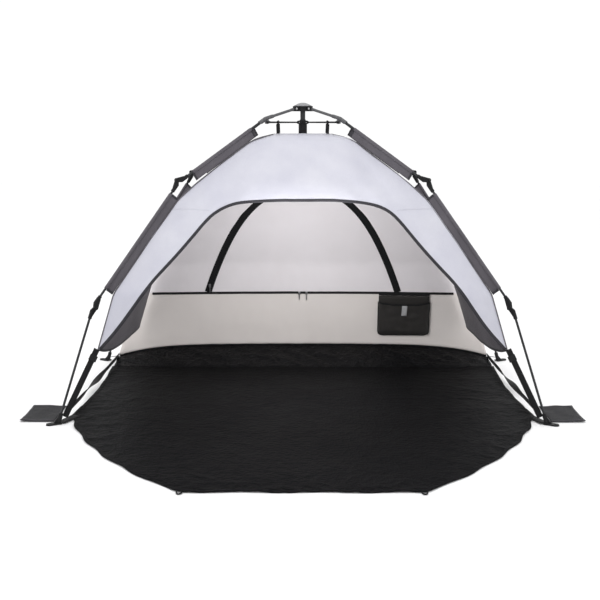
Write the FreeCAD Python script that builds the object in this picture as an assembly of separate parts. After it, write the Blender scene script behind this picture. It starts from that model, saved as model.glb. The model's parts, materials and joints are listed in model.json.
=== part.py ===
import FreeCAD
import Part
import math
import os

from FreeCAD import Vector

# Quick-pitch beach shelter: an umbrella frame of four folding legs that
# carries a sewn canopy, with a groundsheet that runs out past the doorway.
# Millimetres. Origin on the ground under the hub, +X to the right of someone
# facing the doorway, +Y to the rear, +Z up.

# Overall sizes
foot_span_x = 2000.0            # between the foot tips, side to side
foot_span_y = 1200.0            # between the foot tips, front to rear
hub_pivot_height = 1274.0

# Leg, in the vertical plane from the hub axis out to the foot
hub_pivot_radius = 37.0
arm_length = 159.0              # hub pivot to elbow
arm_slope = 15.7                # degrees below level
upper_knuckle_radius = 615.0
upper_knuckle_drop = 297.0      # below the hub pivot
lower_knuckle_inset = 176.19    # in from the foot tip
lower_knuckle_height = 467.0

# Poles and their fittings
pole_radius = 5.0
pole_wall = 0.8
arm_tube_extra = 1.0            # arm tube over the pole, in radius
arm_tube_wall = 1.2
arm_neck_length = 24.0          # flat neck at the hub
arm_neck_lap = 6.0              # neck over tube, and tube floor past the neck
socket_wall = 2.75
socket_length = 36.0
socket_floor = 6.0              # solid plug between a socket's mouth and its pole
socket_clearance = 0.25
seat_gap = 0.2                  # pole end to socket floor
knuckle_offset = 12.0           # pole axis to knuckle pivot
knuckle_gap = 14.0              # pivot to the socket's inner end
cheek_length = 26.0             # ear plates along the socket
cheek_inset = 1.5
ear_radius = 9.0
ear_thickness = 3.5
slot_half_width = 5.0           # half the gap between two ears
tongue_clearance = 0.3          # each side of the tongue
tongue_radius = 8.0
pivot_pin_radius = 2.5
pin_running_clearance = 0.05
pin_seat_clearance = 0.02
rivet_head_radius = 4.5
rivet_head_height = 1.5

# Hub, telescopic post and runner
hub_radius = 26.0
hub_below_pivot = 12.0
hub_above_pivot = 11.0
hub_ear_reach = 9.0             # past the pivot
hub_slot_room = 5.0             # behind an arm's eye
cap_radius = 38.0
cap_height = 15.0
cap_rim = 4.0
cap_screw_radius = 4.6
cap_screw_height = 4.0
cap_screw_level = 8.0           # above the cap's foot
cap_screw_room = 0.4
cap_screw_slot = 1.2
post_radius = 11.0
post_wall = 1.5
post_recess = 13.0              # post's end above the runner's lower end
stage_wall = 2.4
stage_step = 4.0                # stage stands out above the runner
slide_clearance = 0.3
runner_wall = 4.7
runner_length = 150.0
runner_drop = 52.0              # runner's top below the hub pivot
runner_lug_reach = 9.3          # sleeve's face to the strut pivot
runner_lug_half_height = 7.0

# Struts, each in a plane beside its leg
strut_drop = 60.0               # below the hub pivot
strut_side_gap = 0.5            # strut rod to a leg socket
strut_rod_radius = 3.0
strut_eye_radius = 6.0
strut_thickness = 4.0
strut_pin_radius = 2.0
strut_gap = 0.5
strut_flat_length = 12.0        # flat of a strut from its eye's centre
elbow_boss_inset = 5.07         # in from the elbow
elbow_lug_half = 4.0
lug_thickness = 3.0

# Feet
foot_sleeve_wall = 3.75
foot_sleeve_length = 46.0
foot_seat_depth = 26.0          # pole inside the sleeve
foot_web_height = 34.0
toe_reach = 50.0                # past the foot tip
toe_half_width = 14.0
toe_thickness = 6.0
peg_hole_radius = 4.0
peg_hole_inset = 16.0           # in from the toe's end

# Fabric, each sheet a plain closed solid
cloth = 2.0
seam_gap = 1.5
crown_radius = 135.0
crown_drop = 109.0              # below the hub pivot
roof_room = 19.0                # roof's middle below the runner
fin_depth = 42.0                # pole axis to canopy seam
fin_clearance = 2.0             # pole to the fin's own edge
upper_fin_span = (0.17, 0.84)   # shares of the upper pole
middle_fin_span = (0.10, 0.86)  # shares of the middle pole
corner_height = 290.0           # front corners of the canopy
corner_inset = 78.0             # in from the lower pole
rear_corner_height = 30.0
rear_corner_inset = 56.0
rear_bow = 45.0                 # how far the rear wall bellies out
rear_seam_height = 86.0         # middle of the seam with the groundsheet
rear_seam_drop = 56.0           # lower at the corners
side_hem_rear_height = 195.0
side_seam_inset = 68.0
side_seam_inset_top = 900.0
side_seam_inset_blend = 350.0
rear_bow_blend = 700.0          # height over which the belly builds up

# Doorway arch in the front hood
arch_top_drop = 274.0           # below the crown
arch_shoulder_drop = 333.0
arch_shoulder_inset = 186.6     # in from the seam at that height
arch_shoulder_length = 147.0    # from the flat top to the shoulder
arch_side_height = 545.0
arch_side_inset = 125.0

# Groundsheet
floor_side_inset = 50.0         # all insets are in from the feet
floor_rear_inset = 144.0
floor_corner_inset = 30.0
floor_corner_setback = 111.0
apron_reach = 847.0             # past the front feet
apron_front_half = 420.0
apron_bulge_inset = 180.0       # in from the floor's corner
apron_bulge_reach = 471.0       # past the floor's corner
sand_flap_width = 138.0
sand_flap_length = 236.0
sand_flap_thickness = 6.0
sand_flap_setback = 34.0        # behind the front feet
sand_flap_gap = 22.0            # out from the feet

# Rear wall furniture
zip_level = 364.0
zip_end_inset = 80.7            # in from the corner seams
zip_tape_width = 12.0
arch_zip_inset = 277.0          # in from the wall zip's ends
arch_zip_drop = 265.0           # below the crown
arch_zip_tape_width = 30.0
window_slider_height = 30.0     # above the foot of the window zip
tape_stand_off = 7.0
arch_tape_stand_off = 11.0
slider_stand_off = 2.2          # slider proud of its tape
slider_length = 16.0
slider_width = 10.0
slider_thickness = 6.0
slider_centre_x = 36.0
pocket_width = 252.0
pocket_height = 205.0
pocket_depth = 22.0
pocket_wall = 2.0
pocket_inset = 245.0            # its middle, in from the wall zip's end
pocket_drop = 12.0              # below the wall zip
pocket_stand_off = 12.0
label_width = 30.0
label_height = 52.0
label_thickness = 1.5

# Webbing
webbing_width = 25.0
webbing_thickness = 2.0
strap_foot = Vector(-30, 0, 26)    # strap's lower end, from the foot tip
hanger_width = 15.0
buckle_length = 26.0
buckle_width = 32.0
buckle_thickness = 7.0
buckle_drop = 10.0              # below the strap's upper end
peg_loop_length = 34.0

# The four legs: name, sign of X, sign of Y, side of the leg its strut runs on
legs = [
    ("front_left", -1, -1, 1),
    ("front_right", 1, -1, -1),
    ("rear_left", -1, 1, -1),
    ("rear_right", 1, 1, 1),
]

side_axis = Vector(0, 1, 0)
up = Vector(0, 0, 1)
out_dir = "parts"


# ---- vectors in a leg's own plane: x outward, y sideways, z up

def plane_point(r, z):
    return Vector(r, 0, z)


def unit(v):
    w = Vector(v)
    w.normalize()
    return w


def outward_normal(d):
    """At right angles to d, on the outer and upper side of a leg."""
    return Vector(-d.z, 0, d.x)


foot_radius = math.hypot(foot_span_x / 2, foot_span_y / 2)
leg_angle = math.degrees(math.atan2(foot_span_y, foot_span_x))

arm_tube_radius = pole_radius + arm_tube_extra
socket_radius = pole_radius + socket_clearance + socket_wall
foot_sleeve_radius = pole_radius + socket_clearance + foot_sleeve_wall

hub_bottom = hub_pivot_height - hub_below_pivot
hub_top = hub_pivot_height + hub_above_pivot
hub_slot_start = hub_pivot_radius - socket_radius - hub_slot_room
runner_top = hub_pivot_height - runner_drop
runner_bottom = runner_top - runner_length
stage_top = runner_top + stage_step
stage_bottom = runner_bottom + stage_step
post_bottom = runner_bottom + post_recess
crown_height = hub_pivot_height - crown_drop
roof_dip = crown_height - runner_bottom + roof_room

stage_inner = post_radius + slide_clearance
stage_outer = stage_inner + stage_wall
runner_inner = stage_outer + slide_clearance
runner_outer = runner_inner + runner_wall
runner_pivot_radius = runner_outer + runner_lug_reach
strut_level = hub_pivot_height - strut_drop
strut_plane = socket_radius + strut_rod_radius + strut_side_gap

hub_pivot = plane_point(hub_pivot_radius, hub_pivot_height)
arm_direction = Vector(math.cos(math.radians(arm_slope)), 0, -math.sin(math.radians(arm_slope)))
elbow = hub_pivot + arm_direction * arm_length
upper_pivot = plane_point(upper_knuckle_radius, hub_pivot_height - upper_knuckle_drop)
lower_pivot = plane_point(foot_radius - lower_knuckle_inset, lower_knuckle_height)
foot_tip = plane_point(foot_radius, 0)

upper_normal = outward_normal(unit(upper_pivot - elbow))
upper_end = upper_pivot - upper_normal * knuckle_offset
upper_direction = unit(upper_end - elbow)
upper_normal = outward_normal(upper_direction)

middle_normal = outward_normal(unit(lower_pivot - upper_pivot))
middle_start = upper_pivot - middle_normal * knuckle_offset
middle_end = lower_pivot + middle_normal * knuckle_offset
middle_direction = unit(middle_end - middle_start)
middle_normal = outward_normal(middle_direction)

lower_normal = outward_normal(unit(foot_tip - lower_pivot))
lower_start = lower_pivot + lower_normal * knuckle_offset
lower_direction = unit(foot_tip - lower_start)
lower_normal = outward_normal(lower_direction)

strut_inner = plane_point(runner_pivot_radius, strut_level)
strut_outer = plane_point(elbow.x - elbow_boss_inset, strut_level)


def azimuth(sx, sy):
    return math.degrees(math.atan2(sy * foot_span_y, sx * foot_span_x))


def to_leg(shape, sx, sy):
    """Turns a shape from the leg's plane to its place round the hub."""
    turned = shape.copy()
    turned.rotate(Vector(0, 0, 0), up, azimuth(sx, sy))
    return turned


def in_leg(point, sx, sy):
    a = math.radians(azimuth(sx, sy))
    return Vector(point.x * math.cos(a), point.x * math.sin(a), point.z)


# ---- small builders

def rod(a, b, radius):
    return Part.makeCylinder(radius, a.distanceToPoint(b), a, b - a)


def tube(a, b, radius, wall):
    return rod(a, b, radius).cut(rod(a, b, radius - wall))


def eye(centre, radius, low, high):
    """A round boss across the leg's plane, from y = low to y = high."""
    return Part.makeCylinder(radius, high - low, centre + side_axis * low, side_axis)


def plate(points, low, high):
    """A flat plate in the leg's plane, from y = low to y = high."""
    ring = [Vector(p.x, low, p.z) for p in points]
    face = Part.Face(Part.makePolygon(ring + [ring[0]]))
    return face.extrude(side_axis * (high - low))


def box_between(x, y, z):
    low = Vector(x[0], y[0], z[0])
    return Part.makeBox(x[1] - x[0], y[1] - y[0], z[1] - z[0], low)


def rivet(centre, radius, low, high):
    """A riveted pin with a head outside each ear."""
    pin = eye(centre, radius, low - rivet_head_height, high + rivet_head_height)
    pin = pin.fuse(eye(centre, rivet_head_radius, low - rivet_head_height, low))
    return pin.fuse(eye(centre, rivet_head_radius, high, high + rivet_head_height))


def solids_of(shapes):
    return Part.makeCompound([s for shape in shapes for s in shape.Solids])


def export(name, shape):
    bad = [s for s in shape.Solids if not s.isValid() or s.Volume <= 0]
    if bad or not shape.Solids:
        raise RuntimeError(name + " is not a sound solid")
    shape.exportStep(os.path.join(out_dir, name + ".step"))


# ---- knuckles: half a knuckle is built about its pivot, with x along its own
# pole away from the joint, and the pole's axis knuckle_offset below the pivot

def placed(shape, pivot, along, normal):
    across = normal.cross(along)
    matrix = FreeCAD.Matrix(
        along.x, across.x, normal.x, pivot.x,
        along.y, across.y, normal.y, pivot.y,
        along.z, across.z, normal.z, pivot.z,
        0, 0, 0, 1)
    return shape.transformed(matrix)


def knuckle_socket():
    mouth = Vector(knuckle_gap, 0, -knuckle_offset)
    tail = mouth + Vector(socket_length, 0, 0)
    floor = mouth + Vector(socket_floor, 0, 0)
    bore = rod(floor, tail + Vector(1, 0, 0), pole_radius + socket_clearance)
    return rod(mouth, tail, socket_radius), bore


def knuckle_outline(radius):
    cheek = socket_radius - cheek_inset
    lean = radius * math.sqrt(0.5)
    return [
        Vector(0, 0, radius),
        Vector(knuckle_gap + cheek_length, 0, -knuckle_offset + cheek),
        Vector(knuckle_gap + cheek_length, 0, -knuckle_offset - cheek),
        Vector(knuckle_gap, 0, -knuckle_offset - cheek),
        Vector(-lean, 0, -lean),
    ]


def knuckle_fork():
    socket, bore = knuckle_socket()
    body = socket
    for low in (-slot_half_width - ear_thickness, slot_half_width):
        body = body.fuse(plate(knuckle_outline(ear_radius), low, low + ear_thickness))
        body = body.fuse(eye(Vector(0, 0, 0), ear_radius, low, low + ear_thickness))
    reach = slot_half_width + ear_thickness
    body = body.cut(bore)
    return body.cut(eye(Vector(0, 0, 0), pivot_pin_radius + pin_seat_clearance, -reach, reach))


def knuckle_tongue():
    socket, bore = knuckle_socket()
    half = slot_half_width - tongue_clearance
    body = socket.fuse(plate(knuckle_outline(tongue_radius), -half, half))
    body = body.fuse(eye(Vector(0, 0, 0), tongue_radius, -half, half))
    body = body.cut(bore)
    return body.cut(eye(Vector(0, 0, 0), pivot_pin_radius + pin_running_clearance, -half, half))


def knuckle_pin(pivot):
    reach = slot_half_width + ear_thickness
    return rivet(pivot, pivot_pin_radius, -reach, reach)


# ---- leg pieces

def hub_arm():
    """Plastic-ended tube from the hub to the elbow."""
    half = slot_half_width - tongue_clearance / 2
    neck_end = hub_pivot + arm_direction * arm_neck_length
    n = outward_normal(arm_direction) * arm_tube_radius
    neck = plate([hub_pivot + n, neck_end + n, neck_end - n, hub_pivot - n], -half, half)
    tail = elbow - arm_direction * (socket_floor / 2 + seat_gap)
    arm = neck.fuse(eye(hub_pivot, socket_radius, -half, half))
    arm = arm.fuse(rod(neck_end - arm_direction * arm_neck_lap, tail, arm_tube_radius))
    hole = eye(hub_pivot, pivot_pin_radius + pin_running_clearance, -half, half)
    bore = rod(neck_end + arm_direction * arm_neck_lap, tail, arm_tube_radius - arm_tube_wall)
    return arm.cut(hole).cut(bore)


def elbow_fitting(hand):
    """Joins arm and pole, with the lug that the strut pulls on."""
    inner_mouth = elbow - arm_direction * socket_length
    outer_mouth = elbow + upper_direction * socket_length
    body = rod(inner_mouth, elbow, socket_radius)
    body = body.fuse(rod(elbow, outer_mouth, socket_radius))
    body = body.fuse(Part.makeSphere(socket_radius, elbow))
    lug_top = Vector(elbow.x, 0, elbow.z)
    half = socket_radius - 2
    lug = plate([
        lug_top + Vector(-half, 0, 0), lug_top + Vector(half, 0, 0),
        strut_outer + Vector(half, 0, 0), strut_outer + Vector(-half, 0, 0)],
        -elbow_lug_half, elbow_lug_half)
    body = body.fuse(lug)
    face = strut_plane - strut_rod_radius - strut_gap
    low, high = sorted((-elbow_lug_half * hand, face * hand))
    body = body.fuse(eye(strut_outer, strut_eye_radius, low, high))
    arm_seat = elbow - arm_direction * (socket_floor / 2)
    pole_seat = elbow + upper_direction * (socket_floor / 2)
    body = body.cut(rod(arm_seat, inner_mouth - arm_direction, arm_tube_radius + socket_clearance))
    return body.cut(rod(pole_seat, outer_mouth + upper_direction, pole_radius + socket_clearance))


def pole_end(pivot, along, normal):
    """Where a pole stops inside a knuckle socket, with along away from the knuckle."""
    return pivot - normal * knuckle_offset + along * (knuckle_gap + socket_floor + seat_gap)


def upper_pole():
    start = elbow + upper_direction * (socket_floor / 2 + seat_gap)
    return tube(start, pole_end(upper_pivot, upper_direction * -1, upper_normal), pole_radius, pole_wall)


def middle_pole():
    start = pole_end(upper_pivot, middle_direction, middle_normal)
    end = pole_end(lower_pivot, middle_direction * -1, middle_normal * -1)
    return tube(start, end, pole_radius, pole_wall)


def lower_pole():
    start = pole_end(lower_pivot, lower_direction, lower_normal * -1)
    end = foot_tip - lower_direction * (foot_sleeve_length - foot_seat_depth + seat_gap)
    return tube(start, end, pole_radius, pole_wall)


def foot():
    """Foot sleeve and its toe, which has an eye for a ground peg."""
    top = foot_tip - lower_direction * foot_sleeve_length
    below = foot_tip + lower_direction * 12
    body = rod(top, below, foot_sleeve_radius)
    toe_end = foot_tip.x + toe_reach
    toe = box_between((foot_tip.x - 12, toe_end - toe_half_width),
                      (-toe_half_width, toe_half_width), (0, toe_thickness))
    tip = Part.makeCylinder(toe_half_width, toe_thickness, Vector(toe_end - toe_half_width, 0, 0), up)
    rib = plate([
        Vector(foot_tip.x - 6, 0, 1), Vector(foot_tip.x + 24, 0, 1),
        Vector(foot_tip.x - 6, 0, foot_web_height)], -3, 3)
    body = body.fuse(toe).fuse(tip).fuse(rib)
    body = body.cut(box_between((0, foot_tip.x + 200), (-60, 60), (-60, 0)))
    seat = foot_tip - lower_direction * (foot_sleeve_length - foot_seat_depth)
    body = body.cut(rod(seat, top - lower_direction, pole_radius + socket_clearance))
    hole = Part.makeCylinder(peg_hole_radius, toe_thickness, Vector(toe_end - peg_hole_inset, 0, 0), up)
    return body.cut(hole)


def strut(hand):
    """Flat-eyed rod from the runner to the elbow."""
    y = strut_plane * hand
    low, high = y - strut_thickness / 2, y + strut_thickness / 2
    shift = side_axis * y
    body = rod(strut_inner + shift, strut_outer + shift, strut_rod_radius)
    for end in (strut_inner, strut_outer):
        body = body.fuse(eye(end, strut_eye_radius, low, high))
    slab = box_between((0, foot_radius), (low, high), (strut_level - 20, strut_level + 20))
    span = (strut_inner.x + strut_flat_length, strut_outer.x - strut_flat_length)
    rod_part = box_between(span, (y - 6, y + 6), (strut_level - 20, strut_level + 20))
    body = body.common(slab.fuse(rod_part))
    for end in (strut_inner, strut_outer):
        body = body.cut(eye(end, strut_pin_radius + pin_running_clearance, low, high))
    return body


# ---- hub, post and runner

def top_hub():
    height = hub_top - hub_bottom
    body = Part.makeCylinder(hub_radius, height, Vector(0, 0, hub_bottom), up)
    reach = slot_half_width + ear_thickness
    outer = hub_pivot_radius + hub_ear_reach
    for _, sx, sy, _ in legs:
        block = box_between((0, outer), (-reach, reach), (hub_bottom, hub_top))
        body = body.fuse(to_leg(block, sx, sy))
    for _, sx, sy, _ in legs:
        slot = box_between((hub_slot_start, outer + 1), (-slot_half_width, slot_half_width),
                           (hub_bottom - 1, hub_top + 1))
        hole = eye(hub_pivot, pivot_pin_radius + pin_seat_clearance, -reach, reach)
        body = body.cut(to_leg(slot.fuse(hole), sx, sy))
    bore = Part.makeCylinder(post_radius + socket_clearance, hub_below_pivot,
                             Vector(0, 0, hub_bottom), up)
    return body.cut(bore)


def hub_cap():
    """Low domed cap with a slot-headed screw well."""
    rim = Part.makeCylinder(cap_radius, cap_rim, Vector(0, 0, hub_top), up)
    ball = (cap_radius ** 2 + cap_height ** 2) / (2 * cap_height)
    dome = Part.makeSphere(ball, Vector(0, 0, hub_top + cap_height - ball))
    trim = Part.makeCylinder(cap_radius, cap_height, Vector(0, 0, hub_top), up)
    well = Part.makeCylinder(cap_screw_radius + cap_screw_room, cap_height,
                             Vector(0, 0, hub_top + cap_screw_level), up)
    return rim.fuse(dome.common(trim)).cut(well)


def cap_screw():
    base = hub_top + cap_screw_level
    head = Part.makeCylinder(cap_screw_radius, cap_screw_height, Vector(0, 0, base), up)
    slot = box_between((-cap_radius, cap_radius), (-cap_screw_slot / 2, cap_screw_slot / 2),
                       (base + cap_screw_height * 0.6, base + cap_screw_height * 2))
    return head.cut(slot)


def ring(outer, inner, low, high):
    height = high - low
    base = Vector(0, 0, low)
    return Part.makeCylinder(outer, height, base, up).cut(Part.makeCylinder(inner, height, base, up))


def runner():
    body = ring(runner_outer, runner_inner, runner_bottom, runner_top)
    y_low = strut_plane - strut_thickness / 2 - strut_gap
    y_high = strut_plane + strut_thickness / 2 + strut_gap
    outer = runner_pivot_radius + strut_eye_radius
    band = (strut_level - runner_lug_half_height, strut_level + runner_lug_half_height)
    for _, sx, sy, hand in legs:
        for low, high in ((y_low - lug_thickness, y_low), (y_high, y_high + lug_thickness)):
            ear = box_between((0, runner_pivot_radius), (low, high), band)
            ear = ear.fuse(eye(plane_point(runner_pivot_radius, strut_level),
                               runner_lug_half_height, low, high))
            ear = ear.cut(eye(plane_point(runner_pivot_radius, strut_level),
                              strut_pin_radius + pin_seat_clearance, low, high))
            if hand < 0:
                ear = ear.mirror(Vector(0, 0, 0), side_axis)
            body = body.fuse(to_leg(ear, sx, sy))
    hollow = Part.makeCylinder(runner_inner, runner_top - runner_bottom, Vector(0, 0, runner_bottom), up)
    slots = []
    for _, sx, sy, hand in legs:
        slot = box_between((runner_pivot_radius - strut_eye_radius - 1.5, outer + 5), (y_low, y_high),
                           (strut_level - 12, strut_level + 12))
        if hand < 0:
            slot = slot.mirror(Vector(0, 0, 0), side_axis)
        slots.append(to_leg(slot, sx, sy))
    body = body.cut(hollow)
    for slot in slots:
        body = body.cut(slot)
    return body


def runner_pin(hand):
    y_low = strut_plane - strut_thickness / 2 - strut_gap - lug_thickness
    y_high = strut_plane + strut_thickness / 2 + strut_gap + lug_thickness
    low, high = sorted((y_low * hand, y_high * hand))
    centre = plane_point(runner_pivot_radius, strut_level)
    return eye(centre, strut_pin_radius, low, high)


# ---- the canopy's shape: the seam under each pole, as radius against height

def below(start, end, share, depth, normal):
    return start + (end - start) * share - normal * depth


def lower_pole_radius(height):
    share = (lower_start.z - height) / (lower_start.z - foot_tip.z)
    return lower_start.x + (foot_tip.x - lower_start.x) * share


def ridge_points(corner):
    return [
        plane_point(crown_radius, crown_height),
        below(elbow, upper_end, 0.20, fin_depth, upper_normal),
        below(elbow, upper_end, 0.55, fin_depth + 2, upper_normal),
        below(elbow, upper_end, 0.86, fin_depth + 6, upper_normal),
        below(middle_start, middle_end, 0.10, fin_depth, middle_normal),
        below(middle_start, middle_end, 0.45, fin_depth - 2, middle_normal),
        below(middle_start, middle_end, middle_fin_span[1], fin_depth, middle_normal),
        corner,
    ]


front_corner = plane_point(lower_pole_radius(corner_height) - corner_inset, corner_height)
rear_corner = plane_point(lower_pole_radius(rear_corner_height) - rear_corner_inset, rear_corner_height)
front_ridge = ridge_points(front_corner)
rear_ridge = ridge_points(rear_corner)


def ridge_radius(points, z):
    """Seam radius at a height, straight between its points."""
    for a, b in zip(points, points[1:]):
        if z >= b.z:
            share = (a.z - z) / (a.z - b.z)
            return a.x + (b.x - a.x) * share
    return points[-1].x


cos_leg = math.cos(math.radians(leg_angle))
sin_leg = math.sin(math.radians(leg_angle))

floor_side_half = foot_span_x / 2 - floor_side_inset
floor_rear = foot_span_y / 2 - floor_rear_inset
apron_front = -foot_span_y / 2 - apron_reach

zip_half_length = ridge_radius(rear_ridge, zip_level) * cos_leg - zip_end_inset
arch_zip_half = zip_half_length - arch_zip_inset
arch_zip_top = crown_height - arch_zip_drop
pocket_centre_x = zip_half_length - pocket_inset
pocket_top = zip_level - pocket_drop


def smooth(t):
    t = min(max(t, 0.0), 1.0)
    return t * t * (3 - 2 * t)


def rear_point(share, z):
    """On the rear wall: share -1 at the left seam, 1 at the right."""
    r = ridge_radius(rear_ridge, z)
    belly = rear_bow * (1 - share * share) * smooth((crown_height - z) / rear_bow_blend)
    return Vector(share * r * cos_leg, r * sin_leg + belly, z)


def rear_seam_z(share):
    return rear_seam_height - rear_seam_drop * abs(share) ** 6


def side_point(sx, share, z):
    """On a side wall: share 0 at the front seam, 1 at the rear."""
    front = ridge_radius(front_ridge, z)
    rear = ridge_radius(rear_ridge, z)
    inset = side_seam_inset * smooth((side_seam_inset_top - z) / side_seam_inset_blend) * smooth(share)
    x = (front + (rear - front) * share) * cos_leg - inset
    y_front = -front * sin_leg
    y_rear = (rear - inset * 0.6) * sin_leg
    return Vector(sx * x, y_front + (y_rear - y_front) * share, z)


def cloth_solid(rows, thickness, inside):
    """A closed sheet on a grid of points, thickened towards the point inside."""
    m, n = len(rows), len(rows[0])
    outer = [p for row in rows for p in row]
    inner = []
    for i in range(m):
        for j in range(n):
            a = rows[min(i + 1, m - 1)][j] - rows[max(i - 1, 0)][j]
            b = rows[i][min(j + 1, n - 1)] - rows[i][max(j - 1, 0)]
            normal = a.cross(b)
            normal.normalize()
            if normal.dot(inside - rows[i][j]) < 0:
                normal = normal * -1
            inner.append(rows[i][j] + normal * thickness)
    points = outer + inner
    k = m * n
    facets = []
    for i in range(m - 1):
        for j in range(n - 1):
            a, b, c, d = i * n + j, i * n + j + 1, (i + 1) * n + j + 1, (i + 1) * n + j
            facets += [(a, b, c), (a, c, d), (a + k, c + k, b + k), (a + k, d + k, c + k)]
    rim = [j for j in range(n)] + [i * n + n - 1 for i in range(1, m)]
    rim += [(m - 1) * n + j for j in range(n - 2, -1, -1)]
    rim += [i * n for i in range(m - 2, 0, -1)]
    for a, b in zip(rim, rim[1:] + rim[:1]):
        facets += [(b, a, a + k), (b, a + k, b + k)]
    shape = Part.Shape()
    shape.makeShapeFromMesh((points, facets), 0.01)
    solid = Part.makeSolid(shape.Shells[0])
    if solid.Volume < 0:
        solid.reverse()
    return solid


inside_tent = Vector(0, 0, 400)


def shares(count, low=-1.0, high=1.0):
    return [low + (high - low) * i / (count - 1) for i in range(count)]


def arch_curve(count):
    """Doorway edge from its middle to a corner, as (x, z) pairs."""
    arch_top_height = crown_height - arch_top_drop
    arch_shoulder_height = crown_height - arch_shoulder_drop
    arch_shoulder_half = ridge_radius(front_ridge, arch_shoulder_height) * cos_leg - arch_shoulder_inset
    arch_top_half = arch_shoulder_half - arch_shoulder_length
    arch_side_half = ridge_radius(front_ridge, arch_side_height) * cos_leg - arch_side_inset
    corner = in_leg(front_corner, 1, -1)
    start = Vector(arch_shoulder_half, 0, arch_shoulder_height)
    middle = Vector(arch_side_half, 0, arch_side_height)
    side = Part.Arc(start, middle, Vector(corner.x - seam_gap * 3, 0, corner.z + seam_gap)).toShape()
    chord = start - Vector(arch_top_half, 0, arch_top_height)
    knee = Vector(arch_top_half + chord.x * 0.62, 0, arch_top_height - 6)
    shoulder = Part.BezierCurve()
    shoulder.setPoles([Vector(arch_top_half, 0, arch_top_height), knee, start])
    top = Part.makeLine(Vector(0, 0, arch_top_height), Vector(arch_top_half, 0, arch_top_height))
    wire = Part.Wire([top, shoulder.toShape(), side])
    return wire.discretize(Number=count)


def outer_curve(count):
    """Crown edge and front seam from the middle to a corner."""
    first = in_leg(front_ridge[0], 1, -1)
    ring_points = [Vector(0, 0, first.z)] + [Vector(p.x * cos_leg - seam_gap, 0, p.z) for p in front_ridge]
    wire = Part.makePolygon(ring_points)
    return wire.discretize(Number=count)


def hood_rows():
    """Front hood, from the left corner over the doorway to the right corner."""
    count = 15
    edge = arch_curve(count)
    rim = outer_curve(count)
    half = []
    for a, b in zip(rim, edge):
        column = []
        for t in shares(4, 0.0, 1.0):
            x = a.x + (b.x - a.x) * t
            z = a.z + (b.z - a.z) * t
            if a.distanceToPoint(b) < 8:
                z = a.z - 8 * t
            y = -ridge_radius(front_ridge, z) * sin_leg
            column.append(Vector(x, y, z))
        half.append(column)
    mirrored = [[Vector(-p.x, p.y, p.z) for p in column] for column in reversed(half[1:])]
    return mirrored + half


def side_rows(sx):
    front_z, rear_z = corner_height, side_hem_rear_height
    rows = []
    for t in shares(10, 0.0, 1.0):
        row = []
        for s in shares(7, 0.012, 0.988):
            hem = front_z + (rear_z - front_z) * s
            row.append(side_point(sx, s, crown_height - 2 + (hem - crown_height + 2) * t))
        rows.append(row)
    return rows


def rear_rows():
    rows = []
    for t in shares(11, 0.0, 1.0):
        row = []
        for s in shares(13, -0.995, 0.995):
            low = rear_seam_z(s) + seam_gap
            row.append(rear_point(s, crown_height - 2 + (low - crown_height + 2) * t))
        rows.append(row)
    return rows


def roof_rows():
    """Between the four crown points, pressed down in the middle by the post."""
    rows = []
    for v in shares(9, -0.965, 0.965):
        row = []
        for u in shares(9, -0.965, 0.965):
            fall = roof_dip * (1 - abs(u) ** 2.2) * (1 - abs(v) ** 2.2)
            row.append(Vector(u * crown_radius * cos_leg, v * crown_radius * sin_leg, crown_height - fall))
        rows.append(row)
    return rows


def tub_rows():
    """Groundsheet turned up behind, from the floor to the rear wall's seam."""
    rows = []
    for t in shares(4, 0.0, 1.0):
        row = []
        for s in shares(13, -0.995, 0.995):
            low = Vector(s * floor_side_half, floor_rear + seam_gap, cloth + 0.5)
            high = rear_point(s, rear_seam_z(s) - seam_gap)
            row.append(low + (high - low) * t)
        rows.append(row)
    return rows


# ---- groundsheet

def groundsheet():
    floor_corner_half = foot_span_x / 2 - floor_corner_inset
    floor_corner_y = floor_corner_setback - foot_span_y / 2
    apron_bulge_half = floor_corner_half - apron_bulge_inset
    apron_bulge_y = floor_corner_y - apron_bulge_reach
    front_corner_xy = (apron_front_half, apron_front)
    bulge = (apron_bulge_half, apron_bulge_y)
    tie = (floor_corner_half, floor_corner_y)
    right = [(floor_side_half, floor_rear), tie]
    edges = []
    z = 0.0

    def at(p, sign=1):
        return Vector(sign * p[0], p[1], z)

    edges.append(Part.makeLine(at(right[0], -1), at(right[0])))
    edges.append(Part.makeLine(at(right[0]), at(tie)))
    edges.append(Part.Arc(at(tie), at(bulge), at(front_corner_xy)).toShape())
    edges.append(Part.makeLine(at(front_corner_xy), at(front_corner_xy, -1)))
    edges.append(Part.Arc(at(front_corner_xy, -1), at(bulge, -1), at(tie, -1)).toShape())
    edges.append(Part.makeLine(at(tie, -1), at(right[0], -1)))
    return Part.Face(Part.Wire(edges)).extrude(up * cloth)


def sand_flap(sx):
    inner = foot_span_x / 2 + sand_flap_gap
    front = sand_flap_setback - foot_span_y / 2
    low, high = sorted((sx * inner, sx * (inner + sand_flap_width)))
    return box_between((low, high), (front, front + sand_flap_length),
                       (0, sand_flap_thickness))


# ---- fins

def fin(start, end, normal, span):
    """Gusset under a pole, in the leg's plane."""
    a = start + (end - start) * span[0]
    b = start + (end - start) * span[1]
    depth = fin_depth - seam_gap * 2
    edge = pole_radius + fin_clearance
    return plate([
        a - normal * edge, b - normal * edge,
        b - normal * depth, a - normal * depth], -cloth / 2, cloth / 2)


# ---- straps

def strap(a, b, width, thickness, facing):
    """Flat webbing from a to b, its flat side towards facing."""
    along = unit(b - a)
    across = unit(along.cross(facing))
    face = unit(across.cross(along))
    corners = [across * (width / 2 * i) + face * (thickness / 2 * j)
               for i, j in ((-1, -1), (1, -1), (1, 1), (-1, 1))]
    section = [a + c for c in corners]
    return Part.Face(Part.makePolygon(section + [section[0]])).extrude(b - a)


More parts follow.
